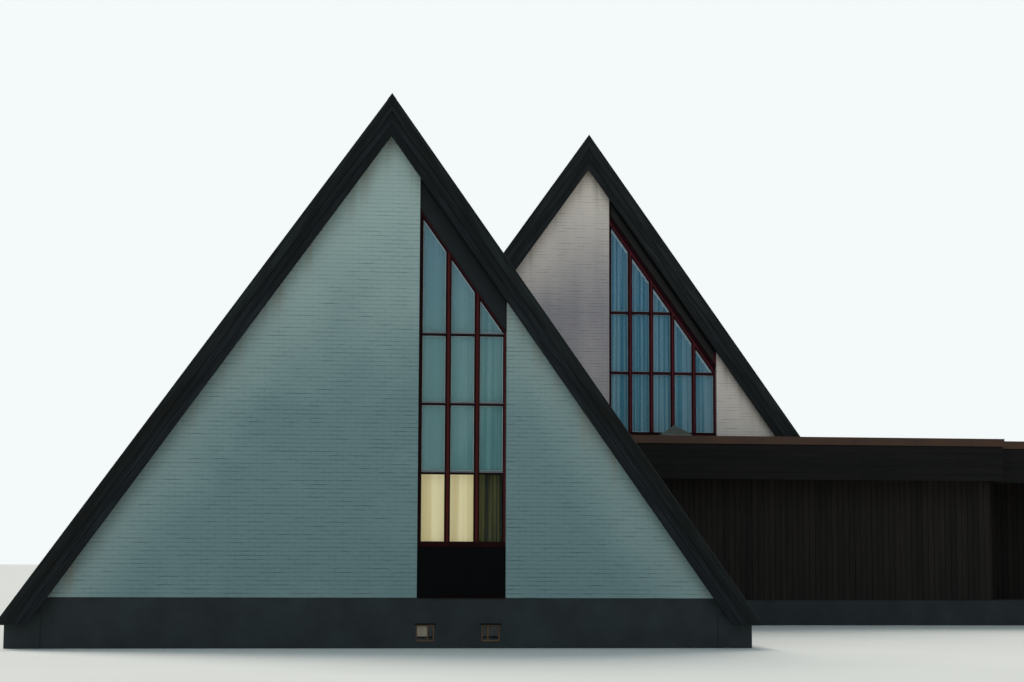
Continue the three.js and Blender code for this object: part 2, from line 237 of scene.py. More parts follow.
def gable_darkening(tree, place, hall):
    """How dark a point of a gable is, partly painted shade, and how close it is to the boards along the
    slope
    """
    top = hall["wall_top"]
    fades_over, swing, stretch = DARKENING[hall["name"]]
    across = add(tree, "ShaderNodeSeparateXYZ", {0: place})
    offset = {0: across.outputs["X"], 1: hall["axis"]}
    from_axis = add(tree, "ShaderNodeMath", offset, operation="SUBTRACT")
    sideways = add(tree, "ShaderNodeMath", {0: from_axis.outputs[0]}, operation="ABSOLUTE")
    line = {0: sideways.outputs[0], 1: PITCH, 2: across.outputs["Z"]}
    height = add(tree, "ShaderNodeMath", line, operation="MULTIPLY_ADD").outputs[0]
    near = {"Value": height, "From Min": top - 1.1, "From Max": top}
    edge = add(tree, "ShaderNodeMapRange", near, interpolation_type="SMOOTHSTEP")

    down = {"Value": across.outputs["Z"], "From Min": top - 0.3, "From Max": top - fades_over}
    darkness = add(tree, "ShaderNodeMapRange", down)
    # the rear gable is painted darker on the left of its window: painted shade
    if hall is REAR:
        to_right = {"Value": from_axis.outputs[0], "From Min": 0.3, "From Max": 2.6}
        painted_left_shade = add(tree, "ShaderNodeMapRange", {**to_right, "To Min": 1, "To Max": 0.42})
        both = {0: darkness.outputs[0], 1: painted_left_shade.outputs[0]}
        darkness = add(tree, "ShaderNodeMath", both, operation="MULTIPLY")
    drawn = add(tree, "ShaderNodeMapping", {"Vector": place, "Scale": stretch})
    cloud = add(tree, "ShaderNodeTexNoise", {"Vector": drawn.outputs[0], "Scale": 0.8, "Detail": 5})
    patch = {"Value": cloud.outputs[0], "From Min": 0.3, "From Max": 0.7}
    shift = add(tree, "ShaderNodeMapRange", {**patch, "To Min": -swing, "To Max": swing})
    both = {0: darkness.outputs[0], 1: shift.outputs[0]}
    darkness = add(tree, "ShaderNodeMath", both, operation="ADD", use_clamp=True)
    # a band along the slopes is kept lighter
    lighter_near_slopes = {"Value": height, "From Min": top - 2.4, "From Max": top, "To Min": 1, "To Max": 0.6}
    band = add(tree, "ShaderNodeMapRange", lighter_near_slopes, interpolation_type="SMOOTHSTEP")
    both = {0: darkness.outputs[0], 1: band.outputs[0]}
    darkness = add(tree, "ShaderNodeMath", both, operation="MULTIPLY")
    return darkness.outputs[0], edge.outputs[0]


for name, (fades_over, swing, stretch) in DARKENING.items():
    print(f"{name}: darkens over {fades_over} m, give or take {swing:.0%}")

# %% [markdown]
# ## Painted brick
# Masonry paint is rolled over clay bricks and their joints. It is matt and a little chalky. The paint
# is white, and its colours here are painted shade: grey-green on the front gable and warm grey on the
# rear one. It has rain marks that run down and yellowish stains where water comes off the boards. In
# the joints the roller misses some places, which show as broken dark lines, more of them where the
# wall is darker. 1 / 0.012 is a grain of 12 mm, which is coarser than the paint's own 3 mm so that it
# shows.

# %% Masonry paint
def masonry_paint(name, hall, light, dark, stain, missed=None):
    """Masonry paint on one hall's brick; missed is the colour of joints where the paint is thin"""
    made, tree, shader, place = finish(name, Roughness=0.82, IOR=1.5)
    darkness, edge = gable_darkening(tree, place, hall)
    base = add(tree, "ShaderNodeMix", {0: darkness, 6: linear(light), 7: linear(dark)}, data_type="RGBA")

    if missed:
        course = add(tree, "ShaderNodeMapping", {"Vector": place, "Scale": (2.6, 2.6, 1 / 0.075)})
        dashes = add(tree, "ShaderNodeTexNoise", {"Vector": course.outputs[0], "Scale": 1, "Detail": 2})
        thin = {"Value": dashes.outputs[0], "From Min": 0.47, "From Max": 0.68, "To Max": 0.8}
        share = add(tree, "ShaderNodeMapRange", thin)
        # where the gable is darker, partly painted shade, more joints show dashed
        worn = add(tree, "ShaderNodeMapRange", {"Value": darkness, "To Min": 0.3, "To Max": 1})
        both = {0: share.outputs[0], 1: worn.outputs[0]}
        share = add(tree, "ShaderNodeMath", both, operation="MULTIPLY")
        dashed = {0: share.outputs[0], 6: base.outputs[2], 7: linear(missed)}
        base = add(tree, "ShaderNodeMix", dashed, data_type="RGBA")

    stretch = add(tree, "ShaderNodeMapping", {"Vector": place, "Scale": (5, 5, 0.35)})
    runs = add(tree, "ShaderNodeTexNoise", {"Vector": stretch.outputs[0], "Scale": 1.0, "Detail": 6})
    marks = {"Value": runs.outputs[0], "From Min": 0.5, "From Max": 0.78}
    streak = add(tree, "ShaderNodeMapRange", marks)
    soiled = add(tree, "ShaderNodeMath", {0: streak.outputs[0], 1: edge}, operation="MULTIPLY")
    stained = {0: soiled.outputs[0], 6: base.outputs[2], 7: linear(stain)}
    colour = add(tree, "ShaderNodeMix", stained, data_type="RGBA")
    tree.links.new(colour.outputs[2], shader.inputs["Base Color"])

    grain = add(tree, "ShaderNodeTexNoise", {"Vector": place, "Scale": 1 / 0.012, "Detail": 3})
    bump = {"Height": grain.outputs[0], "Strength": 0.5, "Distance": 0.0015}
    relief = add(tree, "ShaderNodeBump", bump)
    tree.links.new(relief.outputs[0], shader.inputs["Normal"])
    return made


# the white paint is given the tints of its shade: painted shade, cool in front and warm at the rear
masonry = {
    "front_hall": masonry_paint("masonry paint on brick, cool painted shade", FRONT, "#abbfbb", "#718b8e", "#95958a"),
    "rear_hall": masonry_paint("masonry paint on brick, warm painted shade", REAR, "#fff0e4", "#a39ca2", "#b3a899"),
}
mortar = {
    "front_hall": masonry_paint("masonry paint in joints, cool painted shade", FRONT,
                                "#a0b4b0", "#698386", "#858475", missed="#465759"),
    "rear_hall": masonry_paint("masonry paint in joints, warm painted shade", REAR,
                               "#f8e9dd", "#9b949b", "#a59b8c", missed="#7a757c"),
}
print("masonry paints:", ", ".join(paint.name for paint in masonry.values()))

# %% [markdown]
# ## Stained boards
# Rough-sawn spruce with black or brown stain. Sawn wood drinks the stain unevenly, so the boards
# keep a fine grain along their length, with lighter worn streaks. The grain is a noise squeezed
# across the board: 0.6 m of grain along it and 30 mm across, coarser than the wood's own 5 mm so that
# it shows. A bargeboard follows the roof, so its length is measured down the slope on either side of
# the ridge. The brown boards of walls and fascias also differ one from the other, by a number that
# each of them carries.

# %% Board stains
def grain_place(tree, place, along, hall):
    """Coordinates with X along the board: level, upright or down a hall's slopes"""
    if along == "level":
        return place
    if along == "upright":
        turned = {"Vector": place, "Rotation": (0, math.pi / 2, 0)}
        return add(tree, "ShaderNodeMapping", turned).outputs[0]
    split = add(tree, "ShaderNodeSeparateXYZ", {0: place})
    offset = {0: split.outputs["X"], 1: hall["axis"]}
    shift = add(tree, "ShaderNodeMath", offset, operation="SUBTRACT")
    side = add(tree, "ShaderNodeMath", {0: shift.outputs[0]}, operation="ABSOLUTE")
    folded = {0: side.outputs[0], 1: split.outputs["Y"], 2: split.outputs["Z"]}
    around = add(tree, "ShaderNodeCombineXYZ", folded)
    turned = {"Vector": around.outputs[0], "Rotation": (0, -SLOPE, 0)}
    return add(tree, "ShaderNodeMapping", turned).outputs[0]


def stained_boards(name, along, dark, worn, hall=None, by_part=0):
    """Rough-sawn boards under an opaque stain, with the grain along their length. by_part is how much
    of the wear goes from board to board"""
    made, tree, shader, place = finish(name, Roughness=0.85, Specular_IOR_Level=0.25)
    run = grain_place(tree, place, along, hall)
    squeeze = add(tree, "ShaderNodeMapping", {"Vector": run, "Scale": (1.6, 34, 34)})
    grain = add(tree, "ShaderNodeTexNoise", {"Vector": squeeze.outputs[0], "Scale": 1, "Detail": 6})
    wide = add(tree, "ShaderNodeMapping", {"Vector": run, "Scale": (0.5, 3, 7)})
    patch = add(tree, "ShaderNodeTexNoise", {"Vector": wide.outputs[0], "Scale": 1, "Detail": 4})
    both = add(tree, "ShaderNodeMath", {0: grain.outputs[0], 1: patch.outputs[0]}, operation="MULTIPLY")
    wear = {"Value": both.outputs[0], "From Min": 0.2, "From Max": 0.42}
    share = add(tree, "ShaderNodeMapRange", wear).outputs[0]
    if by_part:
        number = add(tree, "ShaderNodeAttribute", attribute_name="part").outputs["Fac"]
        share = add(tree, "ShaderNodeMix", {0: by_part, 2: share, 3: number}).outputs[0]
    tones = {0: share, 6: linear(dark), 7: linear(worn)}
    colour = add(tree, "ShaderNodeMix", tones, data_type="RGBA")
    tree.links.new(colour.outputs[2], shader.inputs["Base Color"])
    bump = {"Height": grain.outputs[0], "Strength": 0.6, "Distance": 0.002}
    relief = add(tree, "ShaderNodeBump", bump)
    tree.links.new(relief.outputs[0], shader.inputs["Normal"])
    return made


BOARD_TONES = {
    "front_hall": {"outer": ("#0a0e0c", "#20272a"), "inner": ("#0a0e11", "#1d2428")},
    "rear_hall": {"outer": ("#171a1b", "#2c3132"), "inner": ("#15181a", "#2a2e31")},
}
boards = {}
for hall in (FRONT, REAR):
    name = hall["name"].replace("_", " ")
    for rank, (dark, worn) in BOARD_TONES[hall["name"]].items():
        title = f"spruce, black stain, {rank} boards, {name}"
        boards[hall["name"], rank] = stained_boards(title, "slope", dark, worn, hall)
level_brown = stained_boards("spruce, brown stain, level boards", "level",
                             "#090908", "#171412", by_part=0.35)
upright_brown = stained_boards("spruce, brown stain, upright boards", "upright",
                               "#120f0d", "#27211e", by_part=0.45)
black_wood = stained_boards("spruce, black stain, structure", "level", "#0c0d0e", "#151718")
print("board stains:", len(boards) + 3)

# %% [markdown]
# ## One recipe for the plain finishes
# Paint, concrete, tiles, felt, sheet metal and acrylic all weather in patches and have a grain. A
# picture would repeat itself over a building this large, so they share one recipe: two close tones
# mixed by a noise of the patches' size, and a bump of the grain's.

# %% Plain weathered finishes
def weathered(name, tones, patch, grain, relief=0.0006, by_part=0, **constants):
    """Two tones in patches and a grain, both sizes in metres. by_part is how much of the difference
    goes from part to part"""
    made, tree, shader, place = finish(name, **constants)
    clouds = {"Vector": place, "Scale": 1 / patch, "Detail": 6, "Roughness": 0.6}
    cloud = add(tree, "ShaderNodeTexNoise", clouds)
    spread = {"Value": cloud.outputs[0], "From Min": 0.3, "From Max": 0.7}
    tone = add(tree, "ShaderNodeMapRange", spread).outputs[0]
    if by_part:
        number = add(tree, "ShaderNodeAttribute", attribute_name="part").outputs["Fac"]
        tone = add(tree, "ShaderNodeMix", {0: by_part, 2: tone, 3: number}).outputs[0]
    pair = {0: tone, 6: linear(tones[0]), 7: linear(tones[1])}
    colour = add(tree, "ShaderNodeMix", pair, data_type="RGBA")
    tree.links.new(colour.outputs[2], shader.inputs["Base Color"])
    speck = add(tree, "ShaderNodeTexNoise", {"Vector": place, "Scale": 1 / grain, "Detail": 4})
    bump = {"Height": speck.outputs[0], "Strength": 0.6, "Distance": relief}
    bumps = add(tree, "ShaderNodeBump", bump)
    tree.links.new(bumps.outputs[0], shader.inputs["Normal"])
    return made


# %% [markdown]
# ## Paint on wood and panels
# The window bars are planed pine in satin paint that has gone dull. The paint is red in front and
# crimson on the rear hall. Where a bar lies in shade, beside a cover strip, under a sill or under the
# panel, the paint is darker, nearly black: painted shade.
# Its brush marks are 1 mm wide, drawn 10 mm wide here. The panels over the windows are fibre cement,
# smoother than wood, with grey or blue-black paint.

# %% Paints
def satin(colour, tones, roughness=0.6, gloss=0.06):
    """Satin paint on planed pine"""
    return weathered(f"satin paint on pine, {colour}", tones, 0.4, 0.01, 0.0004,
                     Roughness=roughness, Specular_IOR_Level=gloss)


def panel(colour, tones):
    """Paint on a fibre cement panel"""
    return weathered(f"fibre cement panel, {colour} paint", tones, 0.9, 0.004, 0.0003,
                     Roughness=0.7, Specular_IOR_Level=0.25)


red_paint = {"front_hall": satin("red", ("#501210", "#420e0d"), 0.5, 0.12),
             "rear_hall": satin("crimson", ("#5f1a25", "#4d151e"), 0.5, 0.12)}
# the darker reds are partly painted shade, for bars that lie in shade
dark_red_and_shade = {"front_hall": satin("dark red, partly painted shade", ("#24080a", "#1a0608")),
            "rear_hall": satin("dark crimson, partly painted shade", ("#2b0912", "#1f070d"))}
transom_red_and_shade = {"front_hall": satin("black-red, partly painted shade", ("#1d1014", "#160c0f")),
               "rear_hall": satin("black-crimson, partly painted shade", ("#35161f", "#2a1119"))}
rail_red = satin("dim red, sloping rail", ("#43131b", "#381017"))
black_paint = satin("black", ("#050607", "#08090a"), 0.7)
ochre_paint = weathered("satin paint on pine, ochre", ("#6a4a22", "#54391b"), 0.2, 0.01, 0.0004,
                        Roughness=0.5)
cream_board = weathered("painted board, cream", ("#a09381", "#8b7f6e"), 0.15, 0.01, 0.0004,
                        Roughness=0.6)
panel_paint = {"front_hall": panel("blue-black", ("#171d21", "#12181b")),
               "rear_hall": panel("grey-brown", ("#302e2d", "#272524"))}
print("the sloping rail:", rail_red.name)

# %% [markdown]
# ## Concrete, metal and the rest
# Cast concrete is rough and stained in patches half a metre across. The roof tiles are concrete too,
# and half of their difference goes from tile to tile. Sheet metal is smooth under its coat, felt has
# mineral granules of 1 mm, drawn 4 mm wide here so that they show, and the rooflight is acrylic
# that the sun has dulled.

# %% Concrete, metal, felt, glulam and acrylic
# the plinth's tones are darker than its concrete: partly painted shade
plinth_concrete_and_shade = weathered("cast concrete, painted, partly painted shade", ("#272f32", "#1b2224"), 0.5, 0.006, 0.002,
                            Roughness=0.85)
bare_concrete = weathered("cast concrete, bare", ("#8b8d8a", "#6f716f"), 0.8, 0.008, 0.002,
                          Roughness=0.9)
tile_concrete = weathered("concrete roof tiles, dark", ("#424241", "#272728"), 0.22, 0.005, 0.0012,
                          by_part=0.5, Roughness=0.75)
felt = weathered("bitumen felt, mineral granules", ("#4a4a49", "#3a3a39"), 0.9, 0.004, 0.0015,
                 Roughness=0.92)
flashing_coat = weathered("coated sheet steel, dull brown", ("#4e3325", "#3e291f"), 0.7, 0.02, 0.0004,
                          Roughness=0.6, Specular_IOR_Level=0.3)
verge_coat = weathered("coated sheet steel, dark grey", ("#3d4345", "#2d3335"), 0.5, 0.02, 0.0003,
                       Roughness=0.55, Specular_IOR_Level=0.4)
drip_coat = weathered("coated sheet steel, black", ("#15191a", "#0f1213"), 0.5, 0.02, 0.0003,
                      Roughness=0.6, Specular_IOR_Level=0.15)
sill_coat = weathered("coated aluminium sill, grey", ("#74797e", "#64696e"), 0.3, 0.01, 0.0003,
                      Roughness=0.5)
# the spacer is painted lighter than the dull metal: partly a painted highlight
spacer_metal = weathered("aluminium glass spacer, partly painted highlight", ("#b8c5ca", "#a3b1b5"), 0.3, 0.01, 0.0002,
                         Roughness=0.5)
# the rail glows a little: painted light, for it is no lamp
glowing_white_metal = weathered("coated aluminium rail, white, painted glow", ("#d9dfe0", "#c9d0d2"), 0.3, 0.01, 0.0002,
                        Roughness=0.4, Emission_Strength=0.4)
zinc = weathered("zinc sheet, weathered", ("#8f9597", "#767c7f"), 0.3, 0.01, 0.0003,
                 Roughness=0.5, Metallic=0.4)
glulam = weathered("glulam spruce, lacquered", ("#b08a58", "#95703f"), 0.12, 0.01, 0.0006,
                   Roughness=0.5)
acrylic = weathered("acrylic dome, weathered", ("#65685f", "#54574f"), 0.25, 0.03, 0.0003,
                    Roughness=0.3)
print("finishes so far:", len(bpy.data.materials))

# %% [markdown]
# ## Glass and cloth
# Float glass mirrors the light from above, more so the higher the pane, and tints what is behind it
# blue-green. Here that reflection is painted into the glass's colour. Clear glass would need many
# light bounces, so the pane is a thin tinted surface that lets more than half of the light through.
# The curtains are cotton with a slub in the upright yarn, drawn here 12 mm wide and 300 mm long, where
# the real one is 1 by 30 mm. Soft bands of painted light and shade run down them where the folds catch
# the light, and two of them glow with painted light.

# %% Glass and curtain finishes
def tinted_glass(name, low_tint, high_tint, heights, alpha):
    """A thin float-glass surface that mirrors, tints and lets part of the light through; its colour is
    partly painted reflection
    """
    made, tree, shader, place = finish(name, Roughness=0.04, IOR=1.52, Alpha=alpha)
    split = add(tree, "ShaderNodeSeparateXYZ", {0: place})
    span = {"Value": split.outputs["Z"], "From Min": heights[0], "From Max": heights[1]}
    climb = add(tree, "ShaderNodeMapRange", span, interpolation_type="SMOOTHSTEP")
    tones = {0: climb.outputs[0], 6: linear(low_tint), 7: linear(high_tint)}
    tint = add(tree, "ShaderNodeMix", tones, data_type="RGBA")
    tree.links.new(tint.outputs[2], shader.inputs["Base Color"])
    return made


# the colours of these two climb with height as painted reflection of the light from above
green_glass = tinted_glass("float glass, green tint, painted reflection", "#529a9e", "#3f8da6", (4.5, 8), 0.37)
blue_glass = tinted_glass("float glass, blue tint, painted reflection", "#3a90a8", "#3088ac", (4.5, 9.5), 0.38)
clear_glass = tinted_glass("float glass, clear", "#5f6a5a", "#4f5a4a", (1.8, 3.2), 0.06)
dark_glass = tinted_glass("float glass, dark", "#20282c", "#262f33", (0.1, 0.4), 0.6)


def woven(name, light, dark, bands, glow=0):
    """A curtain cloth with soft bands of painted light and shade down it, so many a metre; glow is
    painted light
    """
    made, tree, shader, place = finish(name, Roughness=0.9, Sheen_Weight=0.2, Emission_Strength=glow)
    stretch = add(tree, "ShaderNodeMapping", {"Vector": place, "Scale": (bands, bands, 0.12)})
    folds = add(tree, "ShaderNodeTexNoise", {"Vector": stretch.outputs[0], "Scale": 1, "Detail": 2})
    spread = {"Value": folds.outputs[0], "From Min": 0.36, "From Max": 0.64}
    band = add(tree, "ShaderNodeMapRange", spread, interpolation_type="SMOOTHSTEP")
    pair = {0: band.outputs[0], 6: linear(light), 7: linear(dark)}
    colour = add(tree, "ShaderNodeMix", pair, data_type="RGBA")
    tree.links.new(colour.outputs[2], shader.inputs["Base Color"])
    tree.links.new(colour.outputs[2], shader.inputs["Emission Color"])
    yarn = add(tree, "ShaderNodeMapping", {"Vector": place, "Scale": (1 / 0.012, 1 / 0.012, 1 / 0.3)})
    slub = add(tree, "ShaderNodeTexNoise", {"Vector": yarn.outputs[0], "Scale": 1, "Detail": 1})
    bump = {"Height": slub.outputs[0], "Strength": 0.1, "Distance": 0.0005}
    relief = add(tree, "ShaderNodeBump", bump)
    tree.links.new(relief.outputs[0], shader.inputs["Normal"])
    return made


pale_cloth = woven("cotton curtain, pale green-grey", "#d6dfda", "#bac6c1", 7)
gathered_cloth = woven("cotton curtain, pale, gathered", "#d2dcd7", "#8b9a96", 17)
# these two glow with painted light, as if lit from behind; they are no lamps
white_cloth = woven("cotton curtain, blue-white, painted glow", "#e2f0f5", "#5f8294", 14, 0.08)
cream_cloth = woven("cotton curtain, cream, painted glow", "#efe2b4", "#dccb97", 5, 0.4)
olive_cloth = woven("cotton curtain, olive", "#66622f", "#0d0e05", 15)
print("glass and cloth:", green_glass.name, "/", pale_cloth.name)

# %% [markdown]
# ## Modelling by hand, in code
# The pieces below start as a cube added at its size and place. Faces are then picked by the way they
# look, moved or inset, and what is too long is cut off along a plane. These few helpers are the
# moves of the hand: each is one or two of Blender's own operators.

# %% Start a block, pick its faces, cut it
def free():
    """Leaves edit mode and deselects everything"""
    if bpy.context.mode != "OBJECT":
        bpy.ops.object.mode_set(mode="OBJECT")
    bpy.ops.object.select_all(action="DESELECT")


def block(low, high, paint=None):
    """A cube between two corners, its object at the origin, left in edit mode"""
    free()
    low, high = Vector(low), Vector(high)
    bpy.ops.mesh.primitive_cube_add(size=1)
    piece = bpy.context.object
    if paint:
        piece.data.materials.append(paint)
    bpy.ops.object.mode_set(mode="EDIT")
    bpy.ops.transform.resize(value=high - low)
    bpy.ops.transform.translate(value=(high + low) / 2)
    return piece


def pick(piece, towards):
    """Selects the faces that look one way, and no others"""
    bpy.ops.mesh.select_all(action="DESELECT")
    bpy.ops.mesh.select_mode(type="FACE")
    mesh = bmesh.from_edit_mesh(piece.data)
    for face in mesh.faces:
        if face.normal.dot(Vector(towards)) > 0.9:
            face.select_set(True)
    bmesh.update_edit_mesh(piece.data)


def cut_off(point, beyond):
    """Cuts away what lies beyond a plane, and closes the cut"""
    bpy.ops.mesh.select_all(action="SELECT")
    beyond = Vector(beyond).normalized()
    bpy.ops.mesh.bisect(plane_co=point, plane_no=beyond, use_fill=True, clear_outer=True)


print("hand moves:", free.__name__, block.__name__, pick.__name__, cut_off.__name__)

# %% [markdown]
# ## Copies, edges and joined pieces
# What repeats is modelled once and copied by an Array with a fixed step, which is applied at once, so
# that the row can be cut and copied again. A Bevel takes the sharpness off the edges, and pieces that
# belong together are joined.

# %% Repeat, soften and join
def apply_all(piece):
    """Applies the piece's modifiers, in order"""
    bpy.ops.object.mode_set(mode="OBJECT")
    for modifier in list(piece.modifiers):
        bpy.ops.object.modifier_apply(modifier=modifier.name)


def repeat(piece, count, step):
    """Copies the piece in a row by an Array, and goes back to edit mode"""
    array = piece.modifiers.new("Row", "ARRAY")
    array.count = count
    array.use_relative_offset = False
    array.use_constant_offset = True
    array.constant_offset_displace = step
    apply_all(piece)
    bpy.ops.object.mode_set(mode="EDIT")


def soften(piece, width):
    """Takes the sharpness off the edges with a Bevel"""
    bevel = piece.modifiers.new("Eased edges", "BEVEL")
    bevel.width = width
    bevel.segments = 1
    bevel.limit_method = "ANGLE"
    apply_all(piece)


def join(pieces):
    """Joins pieces into the first one"""
    free()
    for piece in pieces:
        piece.select_set(True)
    bpy.context.view_layer.objects.active = pieces[0]
    bpy.ops.object.join()
    return pieces[0]


print("copies and edges:", repeat.__name__, soften.__name__, join.__name__)

# %% [markdown]
# ## Numbers for parts, and putting a piece on the building
# Real boards and tiles differ one from the other. So each loose part of a field gets a random number
# in an attribute, and the finish reads it. Every finished piece is named, put on the building, and
# counted. Sheets aside, a piece has no open edges.

# %% Number the parts and keep a piece
def number_parts(piece):
    """Gives each loose part of a mesh its own number from 0 to 1, which a finish can read"""
    free()
    mesh = bmesh.new()
    mesh.from_mesh(piece.data)
    number = mesh.faces.layers.float.new("part")
    dice = random.Random(3)
    for first in mesh.faces:
        if first.tag:
            continue
        value = dice.random()
        first.tag = True
        part = [first]
        while part:
            face = part.pop()
            face[number] = value
            for near in (other for edge in face.edges for other in edge.link_faces if not other.tag):
                near.tag = True
                part.append(near)
    mesh.to_mesh(piece.data)
    mesh.free()


triangle_counts = []


def keep(piece, name, replaces=()):
    """Names a finished piece, puts it on the building, and counts its triangles and open edges"""
    free()
    piece.name = name
    piece.data.name = name
    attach(piece, "root")
    if replaces:
        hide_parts(*replaces)
    mesh = bmesh.new()
    mesh.from_mesh(piece.data)
    triangles = len(mesh.calc_loop_triangles())
    loose = sum(not edge.is_manifold for edge in mesh.edges)
    mesh.free()
    triangle_counts.append(triangles)
    print(f"{name}: {triangles} triangles, {loose} open edges")
    return piece


def wear(node, paint):
    """Gives a solid of the frame its finish"""
    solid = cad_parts[node]
    solid.data.materials.clear()
    solid.data.materials.append(paint)


print("ready to build in", bpy.context.mode.lower(), "mode")

# %% [markdown]
# ## Lines along the slopes
# Much on this building ends along a roof slope. A slope line is given by its height over the ridge's
# axis. From that follow the height at any place, how far out the line comes down to a height, and the
# two planes that a field of bricks is cut by.

# %% Slope lines
def height_at(top, hall, x):
    """The height of a line that passes top over the ridge and falls at the roof's pitch"""
    return top - PITCH * abs(x - hall["axis"])


def reach(hall, top, height):
    """How far from the axis a slope line comes down to a height"""
    return (top - height) / PITCH


def under_slopes(hall, top):
    """The two planes of a hall's slopes, through a height over its ridge"""
    point = (hall["axis"], 0, top)
    return [(point, (PITCH, 0, 1)), (point, (-PITCH, 0, 1))]


def out_and_in(low, high, out):
    """The Y of a solid's outer face and of its inner one; out is -1 in front and 1 at the back"""
    return (low.y, high.y) if out < 0 else (high.y, low.y)


for hall in (FRONT, REAR):
    half = reach(hall, hall["wall_top"], hall["wall_foot"])
    print(f"{hall['name']}: the gable is {2 * half:.2f} m wide at its foot")

# %% [markdown]
# ## Bricks
# The gables are laid in running bond: bricks of 236 by 62 mm with 13 mm bed joints, so a course is
# 75 mm high and every second one is shifted by half a brick. A picture of bricks would be flat from
# the side, so each brick is real: one cube with its face inset and raised, repeated along a course,
# doubled and shifted for the next course, and repeated upwards. The field is then cut along the
# slopes and the window strip, so that the end bricks are cut as a bricklayer cuts them. The solid
# wall behind shows in the joints.

# %% Brick fields
BRICK_LONG, BRICK_HIGH = 0.240, 0.075
BED, HEAD = 0.013, 0.004  # the joints under a brick and at its ends; the paint fills the latter
PROUD = {"front_hall": 0.0036, "rear_hall": 0.0022}  # how far a brick stands out from its joints
RAISED = 0.003  # how far its face is raised inside its edges
UNEVEN = 0.003  # how far bricks that are laid by hand differ
UNDER_BOARDS = 0.004  # the gap between the bricks and the roof's underside


def brick_field(hall, face, out, x_range, z_range, planes, paint):
    """Bricks between two sides and two heights, cut by planes"""
    (x0, x1), (z0, z1) = x_range, z_range
    skin = sorted((face + out * (PROUD[hall["name"]] - RAISED), face - out * 0.002))
    start = x0 - BRICK_LONG / 2 - HEAD / 2
    low = (start, skin[0], z0 + BED / 2)
    high = (start + BRICK_LONG - HEAD, skin[1], z0 + BRICK_HIGH - BED / 2)
    field = block(low, high, paint)
    pick(field, (0, out, 0))
    bpy.ops.mesh.inset(thickness=0.004, depth=RAISED)
    repeat(field, math.ceil((x1 - x0) / BRICK_LONG) + 1, (BRICK_LONG, 0, 0))
    bpy.ops.mesh.select_all(action="SELECT")
    bpy.ops.mesh.duplicate()
    bpy.ops.transform.translate(value=(-BRICK_LONG / 2, 0, BRICK_HIGH))
    repeat(field, math.ceil((z1 - z0) / BRICK_HIGH / 2), (0, 0, 2 * BRICK_HIGH))
    cut_off((x0, 0, 0), (-1, 0, 0))
    cut_off((x1, 0, 0), (1, 0, 0))
    for point, beyond in planes:
        cut_off(point, beyond)
    return field


def uneven(field):
    """Sets the bricks a little in and out, as they are laid by hand"""
    cloud = bpy.data.textures.new("laying", "CLOUDS")
    cloud.noise_scale = 0.16
    shift = field.modifiers.new("Laying", "DISPLACE")
    shift.texture = cloud
    shift.texture_coords = "LOCAL"
    shift.direction = "Y"
    shift.strength = UNEVEN
    apply_all(field)


for hall in (FRONT, REAR):
    axis, foot, face, paint = hall["axis"], hall["wall_foot"], hall["face"], masonry[hall["name"]]
    top = hall["wall_top"] - UNDER_BOARDS
    side = reach(hall, top, foot)
    slopes = under_slopes(hall, top)
    edges = (axis + hall["left"], axis + hall["right"])
    left = brick_field(hall, face, -1, (axis - side, edges[0]), (foot, top), slopes, paint)
    zs = (foot, height_at(top, hall, edges[1]))
    right = brick_field(hall, face, -1, (edges[1], axis + side), zs, slopes[:1], paint)
    for piece, end in ((left, "left"), (right, "right")):
        bpy.context.view_layer.objects.active = piece
        uneven(piece)
        keep(piece, f"{hall['name']}_front_bricks_{end}")
    for node in ("front_wall_left", "front_wall_right", "back_wall"):
        wear(f"{hall['name']}_{node}", mortar[hall["name"]])

# %% [markdown]
# ## The back gables
# The back of the front hall is one plain gable, which shows over the flat roof and, beside the link,
# down to the plinth. The rear hall's has a window strip like the front one, so its bricks are four
# fields: left of the opening, right of it, a sloping band over it and two courses under it. They are
# laid from the outside, so their faces look the other way.

# %% Lay the back gables
def back_gable(hall, *fields):
    """Brick fields on the back face of a hall, each with its X range, Z range and cutting planes"""
    paint = masonry[hall["name"]]
    laid = [brick_field(hall, hall["back"], 1, xs, zs, planes, paint) for xs, zs, planes in fields]
    piece = join(laid)
    uneven(piece)
    return keep(piece, f"{hall['name']}_back_bricks")


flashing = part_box("block_roof_flashing")
axis = FRONT["axis"]
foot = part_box("front_hall_back_wall")[0].z
top = FRONT["wall_top"] - UNDER_BOARDS
side = reach(FRONT, top, foot)
courses = 2 * math.ceil((flashing[1].z - foot) / BRICK_HIGH / 2)
seat = foot + courses * BRICK_HIGH
slopes = under_slopes(FRONT, top)
below_seat = slopes[1:] + [((0, 0, seat), (0, 0, 1))]
back_gable(FRONT,
           ((axis - side, axis + side), (seat, top), slopes),
           ((axis - side, flashing[0].x - 0.004), (foot, seat), below_seat))

axis, foot, sill = REAR["axis"], REAR["wall_foot"], REAR["sill"]
top = REAR["wall_top"] - UNDER_BOARDS
side = reach(REAR, top, foot)
slopes = under_slopes(REAR, top)
opening = (axis + REAR["left"], axis + REAR["right"])
over = (height_at(REAR["slope"], REAR, opening[1]), height_at(top, REAR, opening[0]))
over_planes = slopes[:1] + [((axis, 0, REAR["slope"] + 0.001), (-PITCH, 0, -1))]
back_gable(REAR,
           ((axis - side, opening[0]), (foot, top), slopes),
           ((opening[1], axis + side), (foot, height_at(top, REAR, opening[1])), slopes[:1]),
           (opening, over, over_planes),
           (opening, (foot, sill), [((0, 0, sill), (0, 0, 1))]))

# %% [markdown]
# ## Bargeboards
# The black edges of the roofs are three boards one under the other on a backing board: the outer one
# is the widest and stands furthest out, and each next one lies a little deeper, with a dark joint
# between them. A board along a slope could be turned into place, but its ends are plumb where they
# meet at the ridge, so it is easier to pull the outer end of a level block straight down. It is made
# too long, and then cut off level at its foot.

